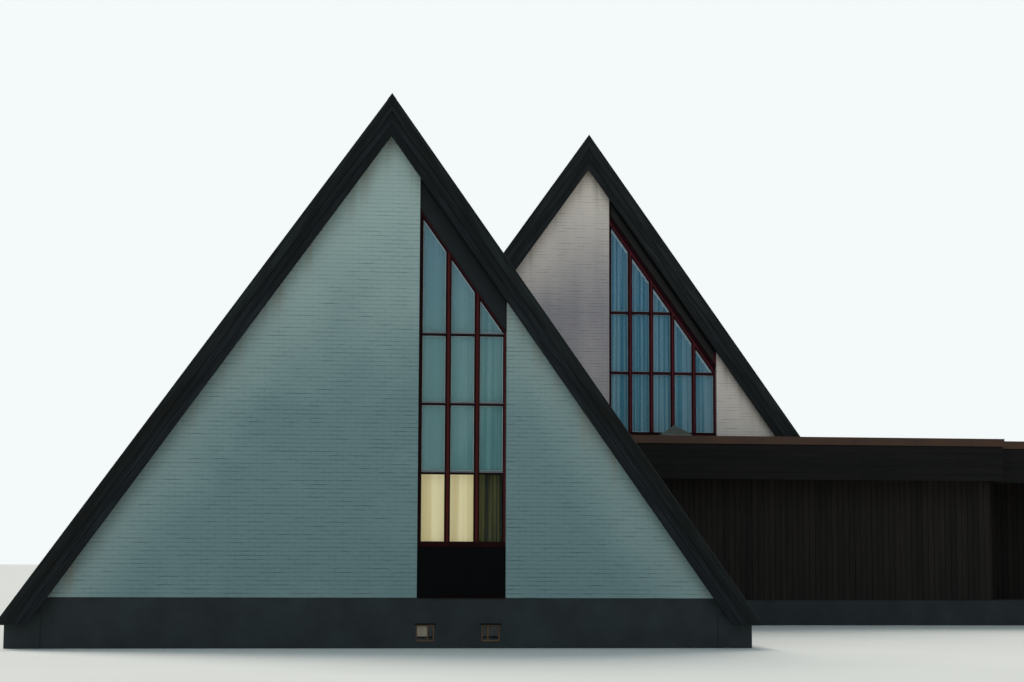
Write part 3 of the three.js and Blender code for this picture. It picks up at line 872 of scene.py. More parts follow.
# %% Make the bargeboards
SIDES = (("left", -1), ("right", 1))
ENDS = (("front", -1), ("back", 1))
BOARD_EDGES = (0, 0.436, 0.70, 1)  # the joints between the boards, as shares of the whole depth
BOARD_STEP = 0.006  # how much deeper each board lies than the one above it
SHY = 0.004  # how far a board keeps back from such a joint


def sloped(hall, side, top, depth, y_range, length, paint, start=0):
    """A block that leaves the ridge line and falls along a slope; top and depth are plumb"""
    x0 = hall["axis"] + side * start
    x1 = x0 + side * length
    z1 = top - PITCH * start
    xs = sorted((x0, x1))
    piece = block((xs[0], min(y_range), z1 - depth), (xs[1], max(y_range), z1), paint)
    pick(piece, (side, 0, 0))
    bpy.ops.transform.translate(value=(0, 0, -PITCH * length))
    return piece


def foot_cut(height):
    """Cuts a sloping board off level at its foot"""
    cut_off((0, 0, height), (0, 0, -1))


def bargeboard(hall, end, side_name, side, out):
    """Three stepped boards on a backing board, in place of one solid"""
    node = f"{hall['name']}_{end}_bargeboard_{side_name}"
    low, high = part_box(node)
    outer, inner = out_and_in(low, high, out)
    middle = (outer + inner) / 2
    ridge, depth = hall["ridge"], hall["board_depth"]
    length = reach(hall, ridge, low.z) + 0.3
    parts = [sloped(hall, side, ridge - SHY, depth - 2 * SHY, (middle, inner), length, black_wood)]
    foot_cut(low.z)
    for k in range(3):
        top = ridge - BOARD_EDGES[k] * depth - (SHY if k else 0)
        tall = (BOARD_EDGES[k + 1] - BOARD_EDGES[k]) * depth - (2 * SHY if k else SHY)
        paint = boards[hall["name"], "inner" if k else "outer"]
        face = outer - out * BOARD_STEP * k
        parts.append(sloped(hall, side, top, tall, (face, middle), length, paint))
        foot_cut(low.z)
    piece = join(parts)
    soften(piece, 0.003)
    return keep(piece, f"{node}_boards", [node])


for hall in (FRONT, REAR):
    for end, out in ENDS:
        for side_name, side in SIDES:
            bargeboard(hall, end, side_name, side, out)

# %% [markdown]
# ## Verge caps and soffits
# A thin folded sheet of dark grey steel covers the top edge of each bargeboard and turns down over its
# face, so that rain can't run in behind it. The turned-down part is black, and is a strip of its own
# here, joined to the cover. Boards close the underside of the overhang, between the bargeboard and
# the brick. All follow the slope, so they are blocks with their outer end pulled down, as the
# bargeboards are.

# %% Make verge caps and soffits
CAP_THICK = 0.006
CAP_OVER = 0.008  # how far the cap's top stands over the bargeboards' ridge
CAP_FOOT = 0.045  # how far over the board's foot the cap ends
DRIP_DEEP = 0.035


def verge_cap(hall, end, side_name, side, out):
    """A folded sheet over the top edge of one bargeboard"""
    low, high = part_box(f"{hall['name']}_{end}_bargeboard_{side_name}")
    outer, inner = out_and_in(low, high, out)
    outer += out * 0.004
    length = reach(hall, hall["ridge"], low.z) + 0.02
    top = hall["ridge"] + CAP_OVER
    ys = (outer, inner - out * 0.03)
    cover = sloped(hall, side, top, CAP_THICK, ys, length, verge_coat)
    foot_cut(low.z + CAP_FOOT)
    ys = (outer, outer - out * 0.003)
    drip = sloped(hall, side, top - CAP_THICK, DRIP_DEEP, ys, length, drip_coat)
    foot_cut(low.z + CAP_FOOT)
    return keep(join([cover, drip]), f"{hall['name']}_{end}_verge_cap_{side_name}")


def soffit(hall, end, side_name, side, out):
    """Three boards along the underside of the overhang"""
    roof = hall["roof_y"][0] if out < 0 else hall["roof_y"][1]
    wall = hall["face"] if out < 0 else hall["back"]
    under = hall["wall_top"] - 0.001
    length = reach(hall, under, hall["roof_foot"])
    width = (abs(roof - wall) - 0.012) / 3
    ys = (roof, roof - out * (width - 0.006))
    board = sloped(hall, side, under, 0.02, ys, length, black_wood)
    repeat(board, 3, (0, -out * width, 0))
    soften(board, 0.002)
    return keep(board, f"{hall['name']}_{end}_soffit_{side_name}")


for hall in (FRONT, REAR):
    for end, out in ENDS:
        for side_name, side in SIDES:
            verge_cap(hall, end, side_name, side, out)
            if hall is REAR or end == "front":
                soffit(hall, end, side_name, side, out)

# %% [markdown]
# ## Roof tiles
# Flat concrete tiles hang on the steep slopes: 300 mm wide, 420 mm long and laid every 345 mm, so
# that each tail rests on the head of the tile below. One tile is made level and tipped by raising
# its tail, and the field is laid flat with two Arrays, because counting is easy there. Only then is
# the whole field turned about the ridge line and its turn applied to the mesh.

# %% Tile the slopes
TILE_WIDE, TILE_LONG, TILE_THICK, EXPOSURE = 0.300, 0.420, 0.012, 0.345
TIP = 0.016  # how far a tile's tail is raised by the tile under it


def slope_length(hall):
    """How long a roof slope is, from the ridge down to its foot"""
    return (hall["roof_top"] - hall["roof_foot"]) / math.sin(SLOPE)


def tiled_slope(hall, side_name, side):
    """A field of tiles on one slope of a hall"""
    y0, y1 = hall["roof_y"]
    length = slope_length(hall)
    rows = math.ceil(length / EXPOSURE)
    head = length + 0.015 - TILE_LONG - (rows - 1) * EXPOSURE
    half = (y1 - y0) / 2
    gap, rounding = 0.003, 0.003
    first = -half - TILE_WIDE / 2 - 0.004
    low = (head, first, 0.002)
    high = (head + TILE_LONG, first + TILE_WIDE - gap, 0.002 + TILE_THICK - rounding)
    field = block(low, high, tile_concrete)
    pick(field, (0, 0, 1))
    bpy.ops.mesh.inset(thickness=0.005, depth=rounding)
    pick(field, (1, 0, 0))
    bpy.ops.transform.translate(value=(0, 0, TIP))
    repeat(field, math.ceil((y1 - y0) / TILE_WIDE) + 1, (0, TILE_WIDE, 0))
    bpy.ops.mesh.select_all(action="SELECT")
    bpy.ops.mesh.duplicate()
    bpy.ops.transform.translate(value=(EXPOSURE, TILE_WIDE / 2, 0))
    repeat(field, math.ceil(rows / 2), (2 * EXPOSURE, 0, 0))
    cut_off((length + TIP, 0, 0), (1, 0, 0))
    cut_off((0, -half, 0), (0, -1, 0))
    cut_off((0, half, 0), (0, 1, 0))
    bpy.ops.object.mode_set(mode="OBJECT")
    field.rotation_euler = (0, SLOPE, 0 if side > 0 else math.pi)
    field.location = (hall["axis"], (y0 + y1) / 2, hall["roof_top"])
    bpy.ops.object.transform_apply(location=True, rotation=True, scale=False)
    bpy.ops.object.mode_set(mode="EDIT")
    cut_off((hall["axis"] + side * 0.004, 0, 0), (-side, 0, 0))
    number_parts(field)
    return keep(field, f"{hall['name']}_tiles_{side_name}")


print("rows of tiles:", [math.ceil(slope_length(hall) / EXPOSURE) for hall in (FRONT, REAR)])

# %% [markdown]
# ## Ridge caps
# Angled caps of the same concrete ride over the ridge, each lapping the next by 30 mm. Half a cap is
# a short sloping block without its inner face. A Mirror about the ridge line makes the other half,
# and an Array lays the row.

# %% Tile the roofs and cap the ridges
LAP, CAP_LONG, CAP_WIDE = 0.03, 0.36, 0.085


def ridge_caps(hall):
    """A row of caps from one gable's boards to the other's"""
    y0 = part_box(f"{hall['name']}_front_bargeboard_left")[0].y + 0.012
    y1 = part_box(f"{hall['name']}_back_bargeboard_left")[1].y - 0.012
    count = round((y1 - y0 - LAP) / CAP_LONG)
    step = (y1 - y0 - LAP) / count
    ys = (y0, y0 + step + LAP)
    cap = sloped(hall, 1, hall["ridge"] + 0.014, 0.022, ys, CAP_WIDE, tile_concrete)
    pick(cap, (-1, 0, 0))
    bpy.ops.mesh.delete(type="FACE")
    pick(cap, (0, -1, 0))
    bpy.ops.transform.translate(value=(0, 0, 0.006))
    mirror = cap.modifiers.new("Other side", "MIRROR")
    helper = bpy.data.objects.new("ridge line", None)
    helper.location = (hall["axis"], 0, 0)
    bpy.context.scene.collection.objects.link(helper)
    mirror.mirror_object = helper
    apply_all(cap)
    bpy.data.objects.remove(helper)
    bpy.ops.object.mode_set(mode="EDIT")
    repeat(cap, count, (0, step, 0))
    soften(cap, 0.003)
    number_parts(cap)
    return keep(cap, f"{hall['name']}_ridge_caps")


for hall in (FRONT, REAR):
    for side_name, side in SIDES:
        tiled_slope(hall, side_name, side)
        wear(f"{hall['name']}_roof_{side_name}", black_wood)
    ridge_caps(hall)

# %% [markdown]
# ## Panels over and under the windows
# Over each window strip a painted panel fills the wall up to the bargeboard, and a flat one fills it
# below the sill. Each is set in a dark groove, which comes from insetting the front face and pulling
# the inner face out again. A black batten along the upper panel's top edge is painted shadow: it
# stands for the thin shade under the bargeboard. The rear hall's upper panel has a painted strip down
# each end, dark crimson in painted shade on the left and crimson on the right. A painted sill sheds
# water under the front hall's lower panel.

# %% Make the panels
GROOVE = 0.014
RECESS = 0.02  # how far the panel's edge lies behind its face
COVER = 0.060  # the width of the strips down the ends of the rear panel


def faced_panel(piece, margin):
    """Insets the front face of a block and pulls it out, so that a groove runs round it"""
    pick(piece, (0, -1, 0))
    bpy.ops.mesh.inset(thickness=margin, depth=0)
    bpy.ops.mesh.extrude_region_move(TRANSFORM_OT_translate={"value": (0, -RECESS, 0)})
    soften(piece, 0.002)


def upper_panel(hall):
    """The panel over a window strip, with its black batten of painted shadow and its cover strips"""
    node = f"{hall['name']}_front_spandrel"
    low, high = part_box(node)
    top = hall["wall_top"]
    start = hall["left"] + JOINT
    width = hall["right"] - hall["left"] - 2 * JOINT
    depth = top - hall["slope"] - JOINT
    ys = (low.y + RECESS, high.y)
    piece = sloped(hall, 1, top, depth, ys, width, panel_paint[hall["name"]], start)
    faced_panel(piece, GROOVE)
    shadow_batten = hall["board_depth"] - (hall["ridge"] - top) - 0.03
    ys = (low.y - 0.03, low.y + 0.002)
    parts = [piece, sloped(hall, 1, top - 0.002, shadow_batten, ys, width, black_wood, start)]
    if hall is REAR:
        ys = (low.y - 0.004, low.y + 0.019)
        ends = ((start, dark_red_and_shade["rear_hall"]), (start + width - COVER, red_paint["rear_hall"]))
        for at, paint in ends:
            parts.append(sloped(hall, 1, top - 0.003, depth - 0.006, ys, COVER, paint, at))
    keep(join(parts), f"{hall['name']}_spandrel_panel", [node])


def lower_panel(hall):
    """The flat panel under a window strip"""
    node = f"{hall['name']}_front_apron"
    low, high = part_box(node)
    piece = block(low + Vector((0, RECESS, 0)), high, black_paint)
    faced_panel(piece, min(GROOVE, (high.z - low.z) / 4))
    keep(piece, f"{hall['name']}_apron_panel", [node])


for hall in (FRONT, REAR):
    upper_panel(hall)
    lower_panel(hall)

low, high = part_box("front_hall_front_apron")
start = (low.x + 0.002, FRONT["face"] - 0.024, low.z + 0.001)
end = (high.x - 0.002, low.y + 0.006, low.z + 0.017)
sill = block(start, end, dark_red_and_shade["front_hall"])
pick(sill, (0, -1, 0))
bpy.ops.transform.translate(value=(0, 0, -0.007))
soften(sill, 0.002)
keep(sill, "front_hall_apron_sill")

# %% [markdown]
# ## Setting out the windows
# The tall windows are a grid of painted pine: stiles at the sides, wide mullions, transoms, a foot
# rail and a rail under the slope. The wall's edge hides a part of the right stile, so it looks
# narrower than the left one. The bars, the panes and the sills all follow one grid, so it is worked
# out here once: pairs of X for the columns and pairs of Z for the rows.

# %% Set out the windows
STILES, MULLION, TRANSOM = (0.070, 0.045), 0.092, 0.058
# for each window: its hall, the way it faces, its mullions' middles measured from the axis, its
# transoms' middles and the height of its foot rail
WINDOWS = {
    "front_hall_front": (FRONT, -1, (1.106, 1.640), (3.170, 4.436, 5.718), 0.100),
    "rear_hall_front": (REAR, -1, (1.107, 1.641, 2.177, 2.713), (6.219, 7.724), 0.064),
    "rear_hall_back": (REAR, 1, (1.107, 1.641, 2.177, 2.713), (6.219, 7.724), 0.064),
}
# the bands of the rail under the slope, from the top down: thickness, paint and how far set back
SLOPE_BANDS = {
    "front_hall": ((0.021, rail_red, -0.003), (0.015, transom_red_and_shade["front_hall"], 0.010)),
    "rear_hall": ((0.097, dark_red_and_shade["rear_hall"], 0.008), (0.036, red_paint["rear_hall"], -0.003),
                  (0.012, dark_red_and_shade["rear_hall"], 0.008)),
}
SMALLEST_PANE = 0.08


def pane_line(hall):
    """The slope line that the panes end at, under the sloping rail"""
    return hall["slope"] - sum(band[0] for band in SLOPE_BANDS[hall["name"]]) * PLUMB


def openings(hall, mullions, transoms, foot_rail):
    """The columns and rows of a window's openings: pairs of X from the axis and pairs of Z"""
    xs = [hall["left"] + STILES[0]]
    for centre in mullions:
        xs += [centre - MULLION / 2, centre + MULLION / 2]
    xs.append(hall["right"] - STILES[1])
    zs = [hall["sill"] + foot_rail]
    for height in transoms:
        zs += [height - TRANSOM / 2, height + TRANSOM / 2]
    zs.append(hall["slope"])
    return list(zip(xs[::2], xs[1::2])), list(zip(zs[::2], zs[1::2]))


def has_pane(hall, xs, zs):
    """Whether the slope leaves room for a pane in an opening"""
    return height_at(pane_line(hall), hall, hall["axis"] + xs[0]) >= zs[0] + SMALLEST_PANE


for name, (hall, out, *grid) in WINDOWS.items():
    columns, rows = openings(hall, *grid)
    count = sum(has_pane(hall, xs, zs) for xs in columns for zs in rows)
    print(f"{name}: {len(columns)} columns, {len(rows)} rows, {count} panes")

# %% [markdown]
# ## Window bars
# Each bar is a block. A mullion is two frames side by side with a cover strip. The strip stands out
# in the plain red, and the frames beside it and the transoms are darker, as painted shade. The upright
# bars are made too long, and each is cut off along the slope before they are joined, because a cut
# through blocks that touch would leave open edges. The rail under the slope is two or three bands, one
# under the other.

# %% Make the window bars
MULLION_STRIP, STILE_STRIP = 0.040, 0.036


def window_bars(name, hall, out, mullions, transoms, foot_rail):
    """The bars of one window strip, not joined yet"""
    # dark and dim carry the red in painted shade
    red, dark, dim = (paint[hall["name"]] for paint in (red_paint, dark_red_and_shade, transom_red_and_shade))
    bands = SLOPE_BANDS[hall["name"]]
    outer, inner = out_and_in(*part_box(f"{name}_window_frame"), out)
    axis, slope, sill = hall["axis"], hall["slope"], hall["sill"]
    x0, x1 = axis + hall["left"] + JOINT, axis + hall["right"] - JOINT
    bars = []

    def bar(xs, zs, set_back, paint, until=inner):
        """One bar, cut off behind the lowest band of the sloping rail"""
        ys = sorted((outer - out * set_back, until))
        bars.append(block((xs[0], ys[0], zs[0]), (xs[1], ys[1], zs[1]), paint))
        cut_off((axis, 0, pane_line(hall) + bands[-1][0] * PLUMB + 0.002), (PITCH, 0, 1))

    strip_back = outer - out * 0.004
    bar((x0, axis + hall["left"] + STILES[0]), (sill, slope), 0.004, dark)
    bar((axis + hall["right"] - STILES[1], x1), (sill, slope), 0.004, dark)
    bar((x1 - STILE_STRIP, x1), (sill + foot_rail, slope), 0.001, red, strip_back)
    for centre in mullions:
        middle = axis + centre
        bar((middle - MULLION / 2, middle + MULLION / 2), (sill, slope), 0.004, dark)
        xs = (middle - MULLION_STRIP / 2, middle + MULLION_STRIP / 2)
        bar(xs, (sill + foot_rail, slope), -0.008, red, strip_back)
    for height in transoms:
        bar((x0, x1), (height - TRANSOM / 2, height + TRANSOM / 2), 0.012, dim)
    bar((x0, x1), (sill, sill + foot_rail), 0.002, dark)

    top = slope
    for thick, paint, set_back in bands:
        ys = (outer - out * set_back, inner)
        start = hall["left"] + JOINT
        bars.append(sloped(hall, 1, top, thick * PLUMB, ys, x1 - x0, paint, start))
        top -= thick * PLUMB
    return bars


print("mullions:", MULLION * 1000, "mm wide, with strips of", MULLION_STRIP * 1000, "mm")

# %% [markdown]
# ## Beads, spacers and glass
# Every pane is held by a glazing bead, and the pale spacer between the sheets of sealed glass shows
# as a thin line inside it, painted lighter than the metal as a painted highlight. Both are the pane's
# outline: a block cut along the slope, all but its front face deleted, that face inset and emptied,
# and the ring that is left pulled inwards. The panes of the front hall's lowest row have clear glass
# in them, where the cloth behind glows with painted light.

# %% Make the windows
BEAD, SPACER = 0.006, 0.016


def ring(hall, xs, zs, face, out, paint, width, deep):
    """A bead or spacer round one pane"""
    low, high = hall["axis"] + xs[0], hall["axis"] + xs[1]
    skin = sorted((face, face - out * 0.01))
    piece = block((low, skin[0], zs[0]), (high, skin[1], zs[1]), paint)
    if height_at(pane_line(hall), hall, high) < zs[1]:
        cut_off((hall["axis"], 0, pane_line(hall)), (PITCH, 0, 1))
    pick(piece, (0, out, 0))
    bpy.ops.mesh.select_all(action="INVERT")
    bpy.ops.mesh.delete(type="FACE")
    bpy.ops.mesh.select_all(action="SELECT")
    bpy.ops.mesh.inset(thickness=width, depth=0)
    bpy.ops.mesh.delete(type="FACE")
    bpy.ops.mesh.select_all(action="SELECT")
    bpy.ops.mesh.extrude_region_move(TRANSFORM_OT_translate={"value": (0, -out * deep, 0)})
    bpy.ops.mesh.select_all(action="SELECT")
    bpy.ops.mesh.normals_make_consistent(inside=False)
    return piece


def pane(name, hall, xs, zs, tint):
    """A sealed unit of glass, held 20 mm behind the bars all round"""
    low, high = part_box(f"{name}_window_glass")
    hold = 0.02
    x0, x1 = hall["axis"] + xs[0], hall["axis"] + xs[1]
    piece = block((x0 - hold, low.y, zs[0] - hold), (x1 + hold, high.y, zs[1] + hold), tint)
    if height_at(pane_line(hall), hall, x1) < zs[1]:
        cut_off((hall["axis"], 0, pane_line(hall) + hold), (PITCH, 0, 1))
    return piece


for name, (hall, out, *grid) in WINDOWS.items():
    outer, inner = out_and_in(*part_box(f"{name}_window_frame"), out)
    columns, rows = openings(hall, *grid)
    glazed = [(xs, zs) for xs in columns for zs in rows if has_pane(hall, xs, zs)]
    bars = window_bars(name, hall, out, *grid)
    for xs, zs in glazed:
        paint = dark_red_and_shade[hall["name"]]
        bars.append(ring(hall, xs, zs, outer - out * 0.035, out, paint, BEAD, 0.045))
        if hall is REAR or zs != rows[0]:
            bars.append(ring(hall, xs, zs, outer - out * 0.075, out, spacer_metal, SPACER, 0.012))
    piece = join(bars)
    soften(piece, 0.003)
    keep(piece, f"{name}_window_bars", [f"{name}_window_frame"])
    tint = blue_glass if hall is REAR else green_glass
    panes = [pane(name, hall, xs, zs, clear_glass if hall is FRONT and zs == rows[0] else tint)
             for xs, zs in glazed]
    keep(join(panes), f"{name}_panes", [f"{name}_window_glass"])

# %% [markdown]
# ## Sills on the front window's transoms
# The lower edge of each row of panes has a grey metal sill that catches the light, so from below it
# reads as a thin pale line over a dark one. It is a small block whose front edge is lowered, to shed
# water.

# %% Make the transom sills
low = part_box("front_hall_front_window_frame")[0]
columns, rows = openings(FRONT, *WINDOWS["front_hall_front"][2:])
sills = []
for bottom, top in rows[1:]:
    for left, right in columns:
        start = (FRONT["axis"] + left, low.y - 0.004, bottom - 0.020)
        end = (FRONT["axis"] + right, low.y + 0.06, bottom + 0.001)
        sill = block(start, end, sill_coat)
        pick(sill, (0, -1, 0))
        bpy.ops.transform.translate(value=(0, 0, -0.004))
        sills.append(sill)
piece = join(sills)
soften(piece, 0.002)
keep(piece, "front_hall_transom_sills")

# %% [markdown]
# ## Curtains
# Pleated curtains hang close behind the glass. A flat sheet would look like a board, and a cloth
# simulation would spend minutes on folds that hang straight down, so each curtain is a fine grid
# whose points are moved in and out by two waves: the pleats, 110 mm apart, and a slower drift that
# makes some pleats deeper. The folds grow softer towards the top, where a heading tape gathers them.
# The cut is larger than the window by that fullness.

# %% Pleat a curtain
PLEAT = 0.11
FOLD_DEPTH = 0.014
CLOTH_BACK = 0.3703  # how far behind the brick face the cloth hangs


def curtain(hall, x_range, foot, top, sloping, cloth, depth=FOLD_DEPTH, pleat=PLEAT, flatter=0):
    """A pleated curtain behind a hall's front window, its folds flatter by a share at its right end;
    returns it with its flat size and area"""
    low = hall["axis"] + x_range[0]
    high = hall["axis"] + x_range[1]
    head = height_at(top, hall, low) if sloping else top
    wide, tall = high - low, head - foot
    free()
    counts = {"x_subdivisions": round(wide * 10 / pleat), "y_subdivisions": max(8, round(tall / 0.16))}
    bpy.ops.mesh.primitive_grid_add(size=1, **counts)
    piece = bpy.context.object
    piece.data.materials.append(cloth)
    bpy.ops.object.mode_set(mode="EDIT")
    bpy.ops.transform.resize(value=(wide, tall, 1))
    bpy.ops.object.mode_set(mode="OBJECT")
    middle = hall["face"] + CLOTH_BACK
    piece.rotation_euler = (math.pi / 2, 0, 0)
    piece.location = ((low + high) / 2, middle, foot + tall / 2)
    bpy.ops.object.transform_apply(location=True, rotation=True, scale=False)
    if sloping:
        bpy.ops.object.mode_set(mode="EDIT")
        bpy.ops.mesh.select_all(action="SELECT")
        beyond = Vector((PITCH, 0, 1)).normalized()
        bpy.ops.mesh.bisect(plane_co=(hall["axis"], 0, top), plane_no=beyond, clear_outer=True)
        bpy.ops.object.mode_set(mode="OBJECT")
    flat_area = sum(face.area for face in piece.data.polygons)
    for point in piece.data.vertices:
        x = point.co.x - hall["axis"]
        hang = (head - point.co.z) / tall
        drift = 0.9 * math.sin(4.1 * x + 1) + 0.25 * math.sin(1.7 * point.co.z)
        swell = 0.55 + 0.3 * math.sin(5.3 * x + 0.4) + 0.15 * math.sin(13 * x + 2 * hang)
        fold = depth * (1 - flatter * (point.co.x - low) / wide) * (0.6 + 0.4 * hang)
        point.co.y = middle + fold * swell * math.sin(2 * math.pi * x / pleat + drift)
    for face in piece.data.polygons:
        face.use_smooth = True
    fullness = sum(face.area for face in piece.data.polygons) / flat_area
    print(f"curtain: {wide:.2f} by {tall:.2f} m hung, fullness {fullness:.2f}")
    return piece, (wide * fullness, tall), flat_area * fullness


print("pleats:", PLEAT * 1000, "mm apart and", 2 * FOLD_DEPTH * 1000, "mm deep")

# %% [markdown]
# ## Rails, and hanging the curtains
# A slim white rail carries each curtain, level or along the slope. The front hall has two curtains
# side by side, parted behind the right mullion, over two more behind the lowest row of panes, where
# the seam between them is hidden by the transom. One wide curtain with deep folds, flatter to the
# right, covers the rear hall's window.

# %% Hang the curtains
RAIL_BACK = (0.357, 0.383)  # how far behind the brick face the rail's two sides are
SIDE_REACH = 0.14  # how far a curtain reaches past the opening
LEVEL_RAIL, SLOPING_RAIL = 0.025, 0.038
LOWER_HEM = 0.95


def curtain_rail(hall, x_range, top, drop, sloping):
    """A slim rail over a curtain, level or along the slope; it glows a little with painted light"""
    y_range = (hall["face"] + RAIL_BACK[0], hall["face"] + RAIL_BACK[1])
    wide = x_range[1] - x_range[0]
    if sloping:
        rail = sloped(hall, 1, top, drop, y_range, wide, glowing_white_metal, x_range[0])
    else:
        low = (hall["axis"] + x_range[0], y_range[0], top - drop)
        rail = block(low, (low[0] + wide, y_range[1], top), glowing_white_metal)
    soften(rail, 0.004)
    return rail


def hang(hall, name, x_range, foot, top, sloping, cloth, replaces=(), **folds):
    """A rail and the curtain under it"""
    drop = SLOPING_RAIL if sloping else LEVEL_RAIL
    rail = curtain_rail(hall, x_range, top, drop, sloping)
    keep(rail, f"{name}_rail")
    piece, flat, area = curtain(hall, x_range, foot, top - drop, sloping, cloth, **folds)
    keep(piece, name, replaces)


parting, seam = WINDOWS["front_hall_front"][2][1], WINDOWS["front_hall_front"][3][0]
edge = (FRONT["left"] - SIDE_REACH, FRONT["right"] + SIDE_REACH)
rail_line = pane_line(FRONT) + 0.052
hang(FRONT, "front_hall_curtain_upper_left", (edge[0], parting - 0.005), seam + 0.01, rail_line, True,
     pale_cloth, ["front_hall_front_curtain"], depth=0.009)
hang(FRONT, "front_hall_curtain_upper_right", (parting + 0.005, edge[1]), seam + 0.01, rail_line, True,
     gathered_cloth, depth=0.011, pleat=0.07)
hang(FRONT, "front_hall_curtain_lower_left", (edge[0], parting - 0.01), LOWER_HEM, seam, False,
     cream_cloth, depth=0.006, pleat=0.31)
hang(FRONT, "front_hall_curtain_lower_right", (parting + 0.01, edge[1]), LOWER_HEM, seam, False,
     olive_cloth, pleat=0.1)
edge = (REAR["left"] - SIDE_REACH, REAR["right"] + SIDE_REACH)
hang(REAR, "rear_hall_curtain", edge, REAR["wall_foot"] + 0.03, pane_line(REAR) + 0.030, True,
     white_cloth, ["rear_hall_front_curtain"], depth=0.04, flatter=0.6)

# %% [markdown]
# ## Fields of boards
# The edge of the flat roof, the walls under it and its soffits are boarded. The boards of a field
# are alike, so one is made, repeated end to end, doubled with its ends staggered by half a length,
# and repeated side by side, as the bricks are. Upright boards are simply longer than the wall is
# high. The field is cut to the box that it fills.

# %% Make the board fields
AXES = {"X": Vector((1, 0, 0)), "Y": Vector((0, 1, 0)), "Z": Vector((0, 0, 1))}


def board_field(low, high, along, across, width, gap, long, paint):
    """Boards side by side with staggered ends, filling a box"""
    low, high = Vector(low), Vector(high)
    run, side = AXES[along], AXES[across]
    size = high - low
    first = high - run * size.dot(run) - side * size.dot(side)
    back = run * (long / 2 + 0.011)
    field = block(low - back, first - back + run * (long - 0.003) + side * (width - gap), paint)
    repeat(field, math.ceil(size.dot(run) / long) + 1, run * long)
    bpy.ops.mesh.select_all(action="SELECT")
    bpy.ops.mesh.duplicate()
    bpy.ops.transform.translate(value=side * width - run * long / 2)
    repeat(field, math.ceil(size.dot(side) / width / 2), side * 2 * width)
    cut_off(low, -run)
    cut_off(high, run)
    cut_off(high - side * 0.0005, side)
    soften(field, 0.002)
    number_parts(field)
    return field


print("directions of boards:", ", ".join(AXES))

# %% [markdown]
# ## The fascia of the flat roof
# Five level boards, one over the other, run round the edge of the flat roof, on a dark core that
# shows in the joints between them. Where the edge steps back, a short run turns the corner.

# %% Board the fascia
FASCIA = 0.048  # the thickness of the fascia's boards and core
CORE_INSET = 0.008
fascia_front, fascia_step, fascia_right, fascia_back = (
    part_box(f"block_fascia_{side}") for side in ("front", "step", "right", "back"))
z0, z1 = fascia_front[0].z, fascia_front[1].z
xa, xb, xc = fascia_front[0].x, fascia_front[1].x, fascia_right[1].x
ya, yb, yc = fascia_front[0].y, fascia_step[0].y, fascia_back[1].y
FASCIA_RUNS = {
    "front": [("X", (xa, ya), (xb, ya + FASCIA)),
              ("Y", (xa, ya + FASCIA), (xa + FASCIA, fascia_front[1].y)),
              ("Y", (xb - FASCIA, ya + FASCIA), (xb, yb + FASCIA))],
    "step": [("X", (xb, yb), (xc, yb + FASCIA))],
    "right": [("Y", (xc - FASCIA, yb + FASCIA), (xc, yc))],
    "back": [("X", (xa, yc - FASCIA), (xc - FASCIA, yc)),
             ("Y", (xa, fascia_back[0].y), (xa + FASCIA, yc - FASCIA))],
}
rise = (z1 - z0) / 5
for side, runs in FASCIA_RUNS.items():
    fields = []
    for along, low, high in runs:
        fields.append(board_field((*low, z0), (*high, z1), along, "Z", rise, 0.007, 4.8, level_brown))
        low_core = (low[0] + CORE_INSET, low[1] + CORE_INSET, z0 + CORE_INSET / 2)
        high_core = (high[0] - CORE_INSET, high[1] - CORE_INSET, z1 - CORE_INSET / 2)
        fields.append(block(low_core, high_core, black_wood))
    keep(join(fields), f"block_fascia_{side}_boards", [f"block_fascia_{side}"])

# %% [markdown]
# ## Boarded walls
# The low block is clad in upright boards 22 mm thick, set side by side with open joints over a dark
# wall. Where the wall turns a corner, the boards of one face cover the ends of the other's.

# %% Clad the walls
CLAD = 0.022
PORCH_WALL = 0.35  # the thickness of the wall behind the porch
front_wall, porch_wall, end_wall, back_wall, left_wall = (
    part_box(f"block_{side}_wall") for side in ("front", "porch", "end", "back", "left"))
link_left, link_right = (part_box(f"link_wall_{side}") for side in ("left", "right"))
z0, z1 = front_wall[0].z - JOINT, front_wall[1].z - 0.02
link_top = fascia_front[0].z - 0.002
front_y, porch_x = front_wall[0].y, front_wall[1].x
end_y, inner_x, end_x = end_wall[0].y, end_wall[0].x, end_wall[1].x
recess_y = porch_wall[1].y - PORCH_WALL
back_y = back_wall[1].y
WALLS = {
    "front": ("X", (link_right[1].x + CLAD, front_y - CLAD), (porch_x + CLAD, front_y)),
    "porch_side": ("Y", (porch_x, front_y), (porch_x + CLAD, recess_y - CLAD)),
    "porch_back": ("X", (porch_x, recess_y - CLAD), (inner_x - CLAD, recess_y)),
    "porch_end": ("Y", (inner_x - CLAD, end_y), (inner_x, recess_y)),
    "end_front": ("X", (inner_x - CLAD, end_y - CLAD), (end_x + CLAD, end_y)),
    "end": ("Y", (end_x, end_y), (end_x + CLAD, end_wall[1].y)),
    "back": ("X", (back_wall[0].x - CLAD, back_y), (end_x + CLAD, back_y + CLAD)),
    "left": ("Y", (left_wall[0].x - CLAD, front_y), (left_wall[0].x, back_y)),
    "link_left": ("Y", (link_left[0].x - CLAD, link_left[0].y), (link_left[0].x, front_y)),
    "link_right": ("Y", (link_right[1].x, link_right[0].y), (link_right[1].x + CLAD, link_right[1].y)),
}
for name, (across, low, high) in WALLS.items():
    top = link_top if name.startswith("link") else z1
    field = board_field((*low, z0), (*high, top), "Z", across, 0.145, 0.01, 10, upright_brown)
    keep(field, f"block_{name}_cladding")

# %% [markdown]
# ## Under the flat roof
# The overhang in front of the block and the ceiling of the porch are boarded too, with narrow level
# boards. They hang just under the roof slab.

